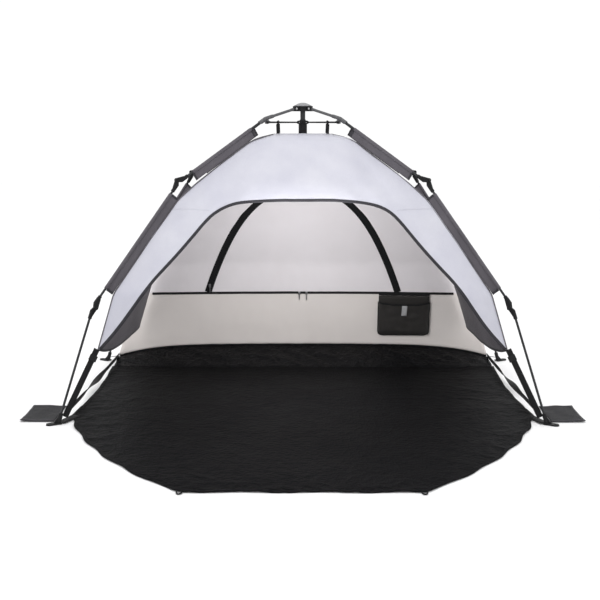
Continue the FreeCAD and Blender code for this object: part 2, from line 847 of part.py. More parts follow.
def corner_strap(sx):
    """From the canopy's front corner down to the foot."""
    top = in_leg(front_corner + Vector(10, 0, -12), sx, -1)
    low = in_leg(foot_tip + strap_foot, sx, -1)
    return strap(top, low, webbing_width, webbing_thickness, Vector(0, -1, 0.4))


def corner_buckle(sx):
    top = in_leg(front_corner + Vector(10, 0, -12), sx, -1)
    low = in_leg(foot_tip + strap_foot, sx, -1)
    along = unit(low - top)
    start = top + along * buckle_drop
    body = strap(start, start + along * buckle_length, buckle_width, buckle_thickness, Vector(0, -1, 0.4))
    hole = strap(start - along, start + along * (buckle_length + 1), webbing_width + 0.6,
                 webbing_thickness + 0.6, Vector(0, -1, 0.4))
    return body.cut(hole)


def side_strap(sx):
    """Along the side from the rear corner to the front foot."""
    rear = in_leg(rear_corner + Vector(6, 0, 2), sx, 1) + Vector(sx * 4, 0, 4)
    front = in_leg(foot_tip + Vector(-14, 0, 36), sx, -1) + Vector(-sx * 12, 20, 0)
    return strap(rear, front, webbing_width, webbing_thickness, Vector(sx, 0, 0.2))


def rear_corner_strap(sx):
    near = in_leg(rear_corner + Vector(6, 0, 0), sx, 1)
    far = in_leg(foot_tip + Vector(-22, 0, 22), sx, 1)
    return strap(near, far, webbing_width * 0.6, webbing_thickness, Vector(0, 0, 1))


def hanger(sx, sy, hand):
    """Webbing hanger from a strut down to the crown."""
    y = strut_plane * hand
    top = strut_level - strut_eye_radius - 1
    low = crown_height + 1
    body = box_between((crown_radius - hanger_width / 2, crown_radius + hanger_width / 2),
                       (y - 0.8, y + 0.8), (low, top))
    return to_leg(body, sx, sy)


def peg_loop(x, y, angle):
    body = box_between((-6, 6), (-peg_loop_length, 0), (0, 2))
    body.rotate(Vector(0, 0, 0), up, angle)
    body.translate(Vector(x, y, 0))
    return body


# ---- rear wall furniture

def wall_ribbon(points, width, stand_off):
    """Tape laid along points (x, z) on the inner face of the rear wall."""
    rows = []
    for k, (x, z) in enumerate(points):
        before = points[max(k - 1, 0)]
        after = points[min(k + 1, len(points) - 1)]
        length = math.hypot(after[0] - before[0], after[1] - before[1])
        nx, nz = -(after[1] - before[1]) / length, (after[0] - before[0]) / length
        row = []
        for side in (-0.5, 0.5):
            px, pz = x + nx * width * side, z + nz * width * side
            row.append(on_rear_wall(px, pz, stand_off))
        rows.append(row)
    return cloth_solid(rows, 1.5, inside_tent)


def on_rear_wall(x, z, stand_off):
    share = x / (ridge_radius(rear_ridge, z) * cos_leg)
    p = rear_point(share, z)
    up_wall = rear_point(share, z + 10) - rear_point(share, z - 10)
    inward = unit(Vector(0, -up_wall.z, up_wall.y))
    return p + inward * stand_off


def arch_zip_x(rise):
    """Half the window zip's width at a share of its height."""
    return arch_zip_half * (1 - rise) ** 0.38


def arch_zip_points():
    """Window zip: legs that lean in under a rounded top, left foot first."""
    low = zip_level + zip_tape_width
    points = []
    for k in range(-12, 13):
        rise = 1 - (k / 12) ** 2
        points.append((math.copysign(arch_zip_x(rise), k), low + (arch_zip_top - low) * rise))
    return points


def zip_slider(x, z, stand_off):
    p = on_rear_wall(x, z, stand_off)
    lean = on_rear_wall(x, z + 20, stand_off) - on_rear_wall(x, z - 20, stand_off)
    tilt = math.degrees(math.atan2(-lean.y, lean.z))
    body = box_between((-slider_width / 2, slider_width / 2), (-slider_thickness, 0),
                       (-slider_length / 2, slider_length / 2))
    tab = box_between((-2.5, 2.5), (-slider_thickness - 1, -slider_thickness + 1), (-34, 2))
    body = body.fuse(tab)
    body.rotate(Vector(0, 0, 0), Vector(1, 0, 0), tilt)
    body.translate(p)
    return body


def pocket_frame(shape):
    """Leans a shape built in the pocket's own frame onto the rear wall."""
    top = on_rear_wall(pocket_centre_x, pocket_top, pocket_stand_off)
    low = on_rear_wall(pocket_centre_x, pocket_top - pocket_height, pocket_stand_off)
    tilt = math.degrees(math.atan2(low.y - top.y, top.z - low.z))
    turned = shape.copy()
    turned.rotate(Vector(0, 0, 0), Vector(1, 0, 0), tilt)
    turned.translate(top)
    return turned


def pocket():
    outer = box_between((-pocket_width / 2, pocket_width / 2), (-pocket_depth, 0), (-pocket_height, 0))
    inner = box_between((-pocket_width / 2 + pocket_wall, pocket_width / 2 - pocket_wall),
                        (-pocket_depth + pocket_wall, -pocket_wall), (-pocket_height + pocket_wall, 1))
    return pocket_frame(outer.cut(inner))


def pocket_label():
    face = -pocket_depth - 0.2
    return pocket_frame(box_between((-label_width / 2, label_width / 2), (face - label_thickness, face),
                                    (-label_height - 40, -40)))


# ---- the whole shelter

def build_legs():
    for name, sx, sy, hand in legs:
        upper_fork = placed(knuckle_fork(), upper_pivot, upper_direction * -1, upper_normal)
        upper_tongue = placed(knuckle_tongue(), upper_pivot, middle_direction, middle_normal)
        lower_fork = placed(knuckle_fork(), lower_pivot, middle_direction * -1, middle_normal * -1)
        lower_tongue = placed(knuckle_tongue(), lower_pivot, lower_direction, lower_normal * -1)
        export("hub_arm_" + name, to_leg(solids_of([hub_arm(), elbow_fitting(hand)]), sx, sy))
        export("upper_pole_" + name, to_leg(upper_pole(), sx, sy))
        export("upper_knuckle_" + name, to_leg(solids_of([upper_fork, knuckle_pin(upper_pivot)]), sx, sy))
        export("middle_pole_" + name, to_leg(middle_pole(), sx, sy))
        middle_ends = solids_of([upper_tongue, lower_fork, knuckle_pin(lower_pivot)])
        export("middle_pole_ends_" + name, to_leg(middle_ends, sx, sy))
        export("lower_pole_" + name, to_leg(lower_pole(), sx, sy))
        export("lower_pole_ends_" + name, to_leg(solids_of([lower_tongue, foot()]), sx, sy))
        export("strut_" + name, to_leg(strut(hand), sx, sy))


def build_hub():
    export("top_hub", top_hub())
    export("hub_cap", hub_cap())
    reach = slot_half_width + ear_thickness
    pins = [to_leg(rivet(hub_pivot, pivot_pin_radius, -reach, reach), sx, sy) for _, sx, sy, _ in legs]
    export("hub_pins", solids_of(pins + [cap_screw()]))
    export("post", ring(post_radius, post_radius - post_wall, post_bottom, hub_pivot_height))
    export("post_stage", ring(stage_outer, stage_inner, stage_bottom, stage_top))
    export("runner", runner())
    export("runner_pins", solids_of([to_leg(runner_pin(hand), sx, sy) for _, sx, sy, hand in legs]))


def build_fabric():
    export("front_hood", cloth_solid(hood_rows(), cloth, inside_tent))
    export("side_wall_left", cloth_solid(side_rows(-1), cloth, inside_tent))
    export("side_wall_right", cloth_solid(side_rows(1), cloth, inside_tent))
    export("rear_wall", cloth_solid(rear_rows(), cloth, inside_tent))
    export("roof", cloth_solid(roof_rows(), cloth, Vector(0, 0, 0)))
    export("tub_rear", cloth_solid(tub_rows(), cloth, Vector(0, 0, 3000)))
    export("groundsheet", groundsheet())
    fins = []
    for _, sx, sy, _ in legs:
        fins.append(to_leg(fin(elbow, upper_end, upper_normal, upper_fin_span), sx, sy))
        fins.append(to_leg(fin(middle_start, middle_end, middle_normal, middle_fin_span), sx, sy))
    export("pole_fins", solids_of(fins))
    export("sand_flaps", solids_of([sand_flap(-1), sand_flap(1)]))


def build_webbing():
    export("corner_straps", solids_of([corner_strap(-1), corner_strap(1)]))
    export("corner_buckles", solids_of([corner_buckle(-1), corner_buckle(1)]))
    rear_straps = [rear_corner_strap(-1), rear_corner_strap(1)]
    export("side_straps", solids_of([side_strap(-1), side_strap(1)] + rear_straps))
    export("hangers", solids_of([hanger(sx, sy, hand) for _, sx, sy, hand in legs]))
    loops = [peg_loop(sx * (apron_front_half - 8), apron_front - 1, 0) for sx in (-1, 1)]
    export("peg_loops", solids_of(loops))


def build_rear_wall_furniture():
    level = [(x, zip_level) for x in shares(15, -zip_half_length, zip_half_length)]
    export("wall_zip_tape", wall_ribbon(level, zip_tape_width, tape_stand_off))
    export("window_zip_tape", wall_ribbon(arch_zip_points(), arch_zip_tape_width, arch_tape_stand_off))
    proud = tape_stand_off + slider_stand_off
    export("wall_zip_slider_left", zip_slider(-slider_centre_x / 2, zip_level, proud))
    export("wall_zip_slider_right", zip_slider(slider_centre_x / 2, zip_level, proud))
    slider_rise = window_slider_height / (arch_zip_top - zip_level - zip_tape_width)
    slider_z = zip_level + zip_tape_width + window_slider_height
    arch_proud = arch_tape_stand_off + slider_stand_off
    export("window_zip_slider", zip_slider(-arch_zip_x(slider_rise), slider_z, arch_proud))
    export("pocket", pocket())
    export("pocket_label", pocket_label())


def main():
    os.makedirs(out_dir, exist_ok=True)
    build_legs()
    build_hub()
    build_fabric()
    build_webbing()
    build_rear_wall_furniture()


main()
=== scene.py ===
import json
import math

import bmesh
import bpy
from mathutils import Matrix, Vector, noise


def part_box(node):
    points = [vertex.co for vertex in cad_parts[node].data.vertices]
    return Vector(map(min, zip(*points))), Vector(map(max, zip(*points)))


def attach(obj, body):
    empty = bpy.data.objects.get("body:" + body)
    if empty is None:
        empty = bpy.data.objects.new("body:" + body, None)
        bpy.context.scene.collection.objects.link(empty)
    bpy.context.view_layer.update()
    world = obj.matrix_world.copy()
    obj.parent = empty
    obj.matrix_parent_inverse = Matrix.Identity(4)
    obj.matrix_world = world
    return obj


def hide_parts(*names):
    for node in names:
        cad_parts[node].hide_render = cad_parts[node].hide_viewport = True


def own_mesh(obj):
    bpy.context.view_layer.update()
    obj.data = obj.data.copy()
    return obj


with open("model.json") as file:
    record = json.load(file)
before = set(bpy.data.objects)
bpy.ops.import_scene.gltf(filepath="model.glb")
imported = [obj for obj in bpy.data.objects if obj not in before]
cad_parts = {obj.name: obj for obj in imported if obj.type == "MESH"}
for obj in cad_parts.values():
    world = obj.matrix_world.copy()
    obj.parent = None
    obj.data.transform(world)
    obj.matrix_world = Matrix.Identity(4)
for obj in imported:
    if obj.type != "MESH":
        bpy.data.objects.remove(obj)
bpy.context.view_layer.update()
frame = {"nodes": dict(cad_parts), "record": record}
record = frame["record"]

# Beach shelter: cloth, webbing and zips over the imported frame. Metres,
# +X right of someone facing the doorway, +Y to the rear, +Z up.


# shader maths

class Wire:
    def __init__(self, paint, socket):
        self.paint = paint
        self.socket = socket

    def op(self, kind, *others):
        return self.paint.node("Math", {"operation": kind}, (self, *others))

    def __add__(self, other):
        return self.op("ADD", other)

    __radd__ = __add__

    def __sub__(self, other):
        return self.op("SUBTRACT", other)

    def __rsub__(self, other):
        return self.paint.node("Math", {"operation": "SUBTRACT"}, (other, self))

    def __mul__(self, other):
        return self.op("MULTIPLY", other)

    __rmul__ = __mul__

    def __pow__(self, other):
        return self.op("POWER", other)

    def sine(self):
        return self.op("SINE")

    def above(self, limit):
        return self.op("GREATER_THAN", limit)


class Paint:
    def __init__(self, name, fixed):
        self.material = bpy.data.materials.new(name)
        self.material.use_nodes = True
        self.tree = self.material.node_tree
        self.shader = self.tree.nodes["Principled BSDF"]
        for key, value in fixed.items():
            self.shader.inputs[key].default_value = value
        self.spot = self.node("TexCoord", {}, {}, "Object")

    def node(self, kind, settings, sockets, output=0):
        made = self.tree.nodes.new("ShaderNode" + kind)
        stops = settings.get("stops")
        for key, value in settings.items():
            if key != "stops":
                setattr(made, key, value)
        if stops:
            ramp = made.color_ramp.elements
            while len(ramp) < len(stops):
                ramp.new(0.5)
            for step, (place, color) in zip(ramp, stops):
                step.position, step.color = place, (*color, 1)
        pairs = sockets.items() if isinstance(sockets, dict) else enumerate(sockets)
        for key, value in pairs:
            if isinstance(value, Wire):
                self.tree.links.new(value.socket, made.inputs[key])
            else:
                made.inputs[key].default_value = value
        return Wire(self, made.outputs[output])

    def axes(self):
        parts = self.node("SeparateXYZ", {}, (self.spot,))
        outs = parts.socket.node.outputs
        return [Wire(self, outs[k]) for k in range(3)]

    def grain(self, scale, detail=3.0, rough=0.55, at=None):
        return self.node("TexNoise", {}, {"Vector": at or self.spot, "Scale": scale, "Detail": detail,
                                          "Roughness": rough})

    def cells(self, scale, kind="DISTANCE_TO_EDGE", at=None):
        return self.node("TexVoronoi", {"feature": kind}, {"Vector": at or self.spot, "Scale": scale})

    def stretch(self, amounts):
        return self.node("VectorMath", {"operation": "MULTIPLY"}, (self.spot, amounts))

    def blend(self, factor, one, two, kind="MIX"):
        made = self.node("Mix", {"data_type": "RGBA", "blend_type": kind},
                         {"Factor": factor}, 2).socket.node
        for key, value in ((6, one), (7, two)):
            if isinstance(value, Wire):
                self.tree.links.new(value.socket, made.inputs[key])
            else:
                made.inputs[key].default_value = (*value, 1)
        return Wire(self, made.outputs[2])

    def weave(self, pitch):
        x, y, z = self.axes()
        turn = 2 * math.pi / pitch
        return ((x + y * 0.6) * turn).sine() * ((z - y * 0.8) * turn).sine()

    def finish(self, color, roughness, height, strength, depth):
        bump = self.node("Bump", {}, {"Height": height, "Strength": strength, "Distance": depth})
        for key, value in (("Base Color", color), ("Roughness", roughness), ("Normal", bump)):
            if isinstance(value, Wire):
                self.tree.links.new(value.socket, self.shader.inputs[key])
            elif key == "Base Color":
                self.shader.inputs[key].default_value = (*value, 1)
            else:
                self.shader.inputs[key].default_value = value
        return self.material


# finishes

clothFinish = {
    "silver": {"light": (0.64, 0.64, 0.70), "shade": (0.54, 0.54, 0.62), "rough": 0.52, "sheen": 0.10},
    "dusk": {"light": (0.125, 0.116, 0.130), "shade": (0.085, 0.079, 0.091), "rough": 0.78, "sheen": 0.12},
    "trim": {"light": (0.050, 0.048, 0.055), "shade": (0.032, 0.031, 0.036), "rough": 0.80, "sheen": 0.08},
    "dark": {"light": (0.030, 0.030, 0.033), "shade": (0.018, 0.018, 0.020), "rough": 0.85, "sheen": 0.05},
}


def clothPaint(name, kind, pitch=0.0016):
    look = clothFinish[kind]
    paint = Paint(name, {"Sheen Weight": look["sheen"], "Sheen Roughness": 0.45, "Specular IOR Level": 0.2})
    cloud = paint.grain(7.0, 4.0)
    fine = paint.grain(240.0, 2.0)
    tone = (cloud - 0.5) * 1.6 + (fine - 0.5) * 0.5 + 0.5
    color = paint.blend(tone, look["shade"], look["light"])
    creases = paint.grain(26.0, 6.0, 0.62)
    height = paint.weave(pitch) * 0.10 + creases * 0.8
    return paint.finish(color, fine * 0.16 + (look["rough"] - 0.08), height, 0.35, 0.0035)


wallLook = {
    "upper": (0.86, 0.82, 0.845), "lower": (0.84, 0.785, 0.755), "stain": (0.66, 0.62, 0.61),
    "level": 0.364, "pitch": 0.0016,
}


def wallPaint(name):
    paint = Paint(name, {"Sheen Weight": 0.2, "Sheen Roughness": 0.5})
    z = paint.axes()[2]
    color = paint.blend(z.above(wallLook["level"]), wallLook["lower"], wallLook["upper"])
    cloud = paint.grain(5.0, 5.0)
    color = paint.blend((cloud - 0.35) * 0.35, color, wallLook["stain"])
    creases = paint.grain(18.0, 6.0, 0.6, paint.stretch((1.0, 1.0, 0.45)))
    height = paint.weave(wallLook["pitch"]) * 0.08 + creases * 0.8
    return paint.finish(color, 0.68, height, 0.35, 0.004)


sheetLook = {"deep": (0.002, 0.002, 0.0025), "worn": (0.007, 0.007, 0.008), "crinkle": 34.0}


def sheetPaint(name, scale, strength, gloss, rough):
    paint = Paint(name, {"Specular IOR Level": gloss})
    size = sheetLook["crinkle"] * scale
    ridges = (1.0 - paint.cells(size)) ** 6.0
    small = (1.0 - paint.cells(size * 2.7)) ** 5.0
    fold = paint.grain(size * 0.6, 8.0, 0.7)
    height = ridges * 0.4 + small * 0.25 + fold
    patches = paint.grain(2.2, 3.0)
    color = paint.blend(paint.grain(16.0, 5.0), sheetLook["deep"], sheetLook["worn"])
    return paint.finish(color, patches * 0.2 + rough, height, strength, 0.006)


webLook = {"tone": (0.006, 0.006, 0.0065), "edge": (0.014, 0.014, 0.015), "rib": 0.0018}


def webPaint(name):
    paint = Paint(name, {"Sheen Weight": 0.05, "Specular IOR Level": 0.15})
    x, y, z = paint.axes()
    turn = 2 * math.pi / webLook["rib"]
    ribs = ((x - y * 0.7 + z * 1.3) * turn).sine()
    color = paint.blend(paint.grain(320.0, 2.0), webLook["tone"], webLook["edge"])
    return paint.finish(color, 0.7, ribs * 0.5 + paint.grain(500.0), 0.4, 0.0006)


meshLook = {
    "deep": (0.012, 0.011, 0.010), "light": (0.030, 0.026, 0.024), "hole": (0.020, 0.018, 0.018),
    "pitch": 0.0032, "sheen": 0.04,
}


def meshPaint(name):
    paint = Paint(name, {"Sheen Weight": meshLook["sheen"]})
    x, z = paint.axes()[::2]
    turn = 2 * math.pi / meshLook["pitch"]
    holes = ((x * turn).sine() * (z * turn).sine()).above(0.10)
    color = paint.blend(paint.grain(12.0, 4.0), meshLook["deep"], meshLook["light"])
    color = paint.blend(holes * 0.55, color, meshLook["hole"])
    return paint.finish(color, 0.75, holes * -0.6, 0.5, 0.0008)


hardLook = {
    "tube": {
        "tone": (0.016, 0.017, 0.019), "wear": (0.05, 0.05, 0.054),
        "rough": 0.42, "metal": 0.0, "gloss": 0.35,
    },
    "moulded": {
        "tone": (0.008, 0.008, 0.009), "wear": (0.022, 0.022, 0.024),
        "rough": 0.55, "metal": 0.0, "gloss": 0.22,
    },
    "armGrey": {
        "tone": (0.075, 0.075, 0.080), "wear": (0.16, 0.16, 0.165),
        "rough": 0.40, "metal": 0.0, "gloss": 0.5,
    },
    "capGrey": {
        "tone": (0.26, 0.26, 0.27), "wear": (0.36, 0.36, 0.37),
        "rough": 0.42, "metal": 0.0, "gloss": 0.4,
    },
    "pinMetal": {
        "tone": (0.45, 0.45, 0.46), "wear": (0.62, 0.62, 0.63),
        "rough": 0.30, "metal": 0.95, "gloss": 0.5,
    },
}


def hardPaint(name, kind):
    look = hardLook[kind]
    paint = Paint(name, {"Metallic": look["metal"], "Specular IOR Level": look["gloss"]})
    scuff = paint.grain(90.0, 6.0, 0.7, paint.stretch((1.0, 1.0, 0.25)))
    marks = ((scuff - 0.56) * 9.0).op("MAXIMUM", 0.0).op("MINIMUM", 1.0)
    color = paint.blend(marks * 0.6, look["tone"], look["wear"])
    pebble = paint.cells(1400.0, "F1")
    return paint.finish(color, marks * 0.18 + look["rough"], pebble * 0.4 + scuff * 0.3, 0.25, 0.0006)


labelLook = {"shade": (0.34, 0.34, 0.35), "light": (0.42, 0.42, 0.43)}


def plainLabelPaint(name):
    paint = Paint(name, {})
    color = paint.blend(paint.grain(60.0), labelLook["shade"], labelLook["light"])
    return paint.finish(color, 0.5, paint.weave(0.0012), 0.2, 0.0004)


silverCloth = clothPaint("silverCloth", "silver")
duskCloth = clothPaint("duskCloth", "dusk")
trimCloth = clothPaint("trimCloth", "trim", 0.0012)
flapCloth = clothPaint("flapCloth", "dark")
wallCloth = wallPaint("wallCloth")
blackSheet = sheetPaint("blackSheet", 1.0, 0.75, 0.030, 0.40)
tubSheet = sheetPaint("tubSheet", 0.7, 1.0, 0.13, 0.18)
webbing = webPaint("webbing")
pocketMesh = meshPaint("pocketMesh")
labelCloth = plainLabelPaint("labelCloth")
tubePaint = hardPaint("tubePaint", "tube")
mouldedPaint = hardPaint("mouldedPaint", "moulded")
capPaint = hardPaint("capPaint", "capGrey")
pinPaint = hardPaint("pinPaint", "pinMetal")
armPaint = hardPaint("armPaint", "armGrey")
print("finishes made")

nodeFinish = {
    "steel_tube": tubePaint, "black_plastic": mouldedPaint, "hub_grey": capPaint, "pin_metal": pinPaint,
}
for part in record["subparts"]:
    shown = frame["nodes"][part["node"]]
    finish = armPaint if part["node"].startswith("hub_arm") else nodeFinish.get(part["material_slot"])
    if finish:
        shown.data.materials.clear()
        shown.data.materials.append(finish)
print("frame finishes set")


# leg planes, read from the frame's joints: x outward, z up

joints = {j["name"]: j for j in record["behaviour"]["joints"]}


def legPoint(joint):
    x, y, z = joints[joint]["pos_m"]
    return Vector((math.hypot(x, y), 0, z))


legs = [("front_left", -1, -1), ("front_right", 1, -1), ("rear_left", -1, 1), ("rear_right", 1, 1)]
hubPivot = legPoint("frame_fold")
upperPivot = legPoint("upper_knuckle_front_left")
lowerPivot = legPoint("lower_knuckle_front_left")
legSpread = math.atan2(abs(joints["lower_knuckle_front_left"]["pos_m"][1]),
                       abs(joints["lower_knuckle_front_left"]["pos_m"][0]))
cosLeg, sinLeg = math.cos(legSpread), math.sin(legSpread)

canopy = {
    "arm": 0.159, "armSlope": 15.7, "offset": 0.012, "footRadius": 1.16619,
    "crown": 0.135, "crownZ": 1.165, "roofDip": 0.112, "finDepth": 0.042,
    "cornerZ": 0.290, "cornerInset": 0.078, "rearCornerZ": 0.030, "rearCornerInset": 0.056,
    "rearBow": 0.045, "seamZ": 0.086, "seamDrop": 0.056, "hemRearZ": 0.195,
    "sideInset": 0.068, "sideInsetTop": 0.900, "topRow": 1.163,
}


def outward(d):
    return Vector((-d.z, 0, d.x))


def solveLeg():
    slope = math.radians(canopy["armSlope"])
    elbow = hubPivot + Vector((math.cos(slope), 0, -math.sin(slope))) * canopy["arm"]
    foot = Vector((canopy["footRadius"], 0, 0))
    off = canopy["offset"]
    n = outward((upperPivot - elbow).normalized())
    upperEnd = upperPivot - n * off
    n = outward((lowerPivot - upperPivot).normalized())
    middleStart, middleEnd = upperPivot - n * off, lowerPivot + n * off
    n = outward((foot - lowerPivot).normalized())
    lowerStart = lowerPivot + n * off
    return elbow, upperEnd, middleStart, middleEnd, lowerStart, foot


elbow, upperEnd, middleStart, middleEnd, lowerStart, footTip = solveLeg()


def lowerPoleRadius(z):
    share = (lowerStart.z - z) / (lowerStart.z - footTip.z)
    return lowerStart.x + (footTip.x - lowerStart.x) * share


def under(a, b, share, depth):
    return a.lerp(b, share) - outward((b - a).normalized()) * depth


def ridge(corner):
    d = canopy["finDepth"]
    return [
        Vector((canopy["crown"], 0, canopy["crownZ"])),
        under(elbow, upperEnd, 0.20, d), under(elbow, upperEnd, 0.55, d + 0.002),
        under(elbow, upperEnd, 0.86, d + 0.006),
        under(middleStart, middleEnd, 0.10, d), under(middleStart, middleEnd, 0.45, d - 0.002),
        under(middleStart, middleEnd, 0.86, d), corner]


frontCorner = Vector((lowerPoleRadius(canopy["cornerZ"]) - canopy["cornerInset"], 0, canopy["cornerZ"]))
rearCorner = Vector((lowerPoleRadius(canopy["rearCornerZ"]) - canopy["rearCornerInset"], 0,
                     canopy["rearCornerZ"]))
frontRidge, rearRidge = ridge(frontCorner), ridge(rearCorner)


def radiusAt(points, z):
    for a, b in zip(points, points[1:]):
        if z >= b.z:
            return a.x + (b.x - a.x) * (a.z - z) / (a.z - b.z)
    return points[-1].x


def eased(t):
    t = min(max(t, 0.0), 1.0)
    return t * t * (3 - 2 * t)


def softRadius(points, z):
    reach = 0.012
    return (radiusAt(points, z - reach) + 2 * radiusAt(points, z) + radiusAt(points, z + reach)) / 4


def rearPoint(share, z, inward=0.0):
    r = softRadius(rearRidge, z)
    belly = canopy["rearBow"] * (1 - share * share) * eased((canopy["crownZ"] - z) / 0.7)
    return Vector((share * r * cosLeg, r * sinLeg + belly - inward, z))


def rearSeamZ(share):
    return canopy["seamZ"] - canopy["seamDrop"] * abs(share) ** 6


def sidePoint(sx, share, z):
    front, rear = softRadius(frontRidge, z), softRadius(rearRidge, z)
    inset = canopy["sideInset"] * eased((canopy["sideInsetTop"] - z) / 0.35) * eased(share)
    x = (front + (rear - front) * share) * cosLeg - inset
    yFront, yRear = -front * sinLeg, (rear - inset * 0.6) * sinLeg
    return Vector((sx * x, yFront + (yRear - yFront) * share, z))


# mesh helpers

def makePiece(name, points, faces, finish, body, smooth=True):
    mesh = bpy.data.meshes.new(name)
    mesh.from_pydata([tuple(p) for p in points], [], faces)
    piece = bpy.data.objects.new(name, mesh)
    bpy.context.scene.collection.objects.link(piece)
    work = bmesh.new()
    work.from_mesh(mesh)
    bmesh.ops.recalc_face_normals(work, faces=work.faces)
    work.to_mesh(mesh)
    work.free()
    if smooth:
        mesh.shade_smooth()
    mesh.materials.append(finish)
    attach(piece, body)
    return piece


def clothGrid(name, rows, finish, thick=0.0012, body="shelter"):
    m, n = len(rows), len(rows[0])
    across = []
    for i in range(m):
        for j in range(n):
            a = rows[min(i + 1, m - 1)][j] - rows[max(i - 1, 0)][j]
            b = rows[i][min(j + 1, n - 1)] - rows[i][max(j - 1, 0)]
            across.append(a.cross(b).normalized() * (thick / 2))
    flat = [p for row in rows for p in row]
    points = [p + q for p, q in zip(flat, across)] + [p - q for p, q in zip(flat, across)]
    k = m * n
    faces = []
    for i in range(m - 1):
        for j in range(n - 1):
            a, b, c, d = i * n + j, i * n + j + 1, (i + 1) * n + j + 1, (i + 1) * n + j
            faces += [(a, b, c, d), (a + k, d + k, c + k, b + k)]
    rim = list(range(n)) + [i * n + n - 1 for i in range(1, m)]
    rim += [(m - 1) * n + j for j in range(n - 2, -1, -1)] + [i * n for i in range(m - 2, 0, -1)]
    for a, b in zip(rim, rim[1:] + rim[:1]):
        faces.append((b, a, a + k, b + k))
    return makePiece(name, points, faces, finish, body)


def sweep(name, path, sides, section, finish, body="shelter", scales=None):
    points, faces = [], []
    count, around = len(path), len(section)
    for k, (p, side) in enumerate(zip(path, sides)):
        along = (path[min(k + 1, count - 1)] - path[max(k - 1, 0)]).normalized()
        side = (side - along * side.dot(along)).normalized()
        face = along.cross(side)
        grow = scales[k] if scales else 1.0
        points += [p + side * a + face * (b * grow) for a, b in section]
    for k in range(count - 1):
        for q in range(around):
            a, b = k * around + q, k * around + (q + 1) % around
            faces.append((a, b, b + around, a + around))
    faces.append(tuple(range(around)))
    faces.append(tuple((count - 1) * around + q for q in range(around)))
    return makePiece(name, points, faces, finish, body)


def flatSection(width, thick):
    w, t = width / 2, thick / 2
    c = min(w, t) * 0.6
    lower = [(-w + c, -t), (w - c, -t), (w, -t + c)]
    upper = [(w, t - c), (w - c, t), (-w + c, t)]
    return lower + upper + [(-w, t - c), (-w, -t + c)]


def roundSection(radius, count=10):
    return [(radius * math.cos(2 * math.pi * k / count), radius * math.sin(2 * math.pi * k / count))
            for k in range(count)]


def evenly(points, count):
    spans = [0.0]
    for a, b in zip(points, points[1:]):
        spans.append(spans[-1] + (b - a).length)
    found = []
    k = 0
    for step in range(count):
        want = spans[-1] * step / (count - 1)
        while k < len(points) - 2 and spans[k + 1] < want:
            k += 1
        share = (want - spans[k]) / max(spans[k + 1] - spans[k], 1e-9)
        found.append(points[k].lerp(points[k + 1], min(share, 1.0)))
    return found


def smoothLine(points, rounds=3):
    for _ in range(rounds):
        cut = [points[0]]
        for a, b in zip(points, points[1:]):
            cut += [a.lerp(b, 0.25), a.lerp(b, 0.75)]
        points = cut + [points[-1]]
    return points


def ripple(p, scale, seed):
    return noise.noise(Vector((p.x * scale + seed, p.y * scale, p.z * scale)))


def crumples(*pieces):
    for piece in pieces:
        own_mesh(piece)


# front hood

hood = {
    "across": 64, "down": 26, "flat": (1.95, 0.34), "area": 0.41,
    "edge": [(0.0, 0.891), (0.150, 0.890), (0.234, 0.884), (0.300, 0.873), (0.350, 0.852), (0.392, 0.821),
             (0.466, 0.734), (0.549, 0.640), (0.638, 0.545), (0.724, 0.424), (0.775, 0.358), (0.812, 0.316),
             (0.834, 0.293)],
    "crease": 0.0030, "fan": 0.0022, "bindWidth": 0.013, "bindThick": 0.0036, "seamZ": 0.852,
    "fade": 6,
}


def hoodRim(count):
    line = [Vector((0, 0, canopy["crownZ"]))] + [Vector((p.x * cosLeg, 0, p.z)) for p in frontRidge]
    return evenly(line, count)


def hoodEdge(count):
    line = smoothLine([Vector((x, 0, z)) for x, z in hood["edge"]], 2)
    return evenly(line, count)


def hoodPoint(x, z, sx):
    drop = softRadius(frontRidge, z) * sinLeg
    pull = math.sin(x * 34 + z * 9) * hood["fan"] * eased((0.95 - z) / 0.3)
    flow = ripple(Vector((x * 1.2, 0, z * 0.55)), 7.0, 3.1 * sx) * hood["crease"] * 1.6
    tight = ripple(Vector((x + z * 0.9, 0, (z - x) * 0.25)), 16.0, 8.4 * sx) * hood["crease"]
    lean = Vector((0, -0.8, 0.6))
    return Vector((sx * x, -drop, z)) + lean * (pull * 0.5 + flow + tight)


def mergeHalves(own, other, t):
    return [Vector((a.x, (a.y * (1 + t) + b.y * (1 - t)) / 2, (a.z * (1 + t) + b.z * (1 - t)) / 2))
            for a, b in zip(own, other)]


def buildHood():
    count = hood["across"]
    rim, edge = hoodRim(count), hoodEdge(count)
    half = []
    for a, b in zip(rim, edge):
        half.append([a.lerp(b, k / (hood["down"] - 1)) for k in range(hood["down"])])
    left = [[hoodPoint(p.x, p.z, -1) for p in column] for column in reversed(half[1:])]
    middle = [[hoodPoint(p.x, p.z, 1) for p in half[0]]]
    right = [[hoodPoint(p.x, p.z, 1) for p in column] for column in half[1:]]
    for k in range(hood["fade"]):          # the two halves meet in one surface
        t = (k + 1) / (hood["fade"] + 1)
        right[k] = mergeHalves(right[k], [hoodPoint(p.x, p.z, -1) for p in half[k + 1]], t)
        left[-1 - k] = mergeHalves(left[-1 - k], [hoodPoint(p.x, p.z, 1) for p in half[k + 1]], t)
    rows = left + middle + right
    piece = clothGrid("frontHood", rows, silverCloth)
    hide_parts("front_hood")
    lip = [row[-1] for row in rows]
    up = [row[-2] - row[-1] for row in rows]
    binding = sweep("hoodBinding", [p + u.normalized() * 0.003 for p, u in zip(lip, up)], up,
                    flatSection(hood["bindWidth"], hood["bindThick"]), trimCloth)
    crumples(piece, binding)


buildHood()
print("hood built")


# side walls, rear wall and roof

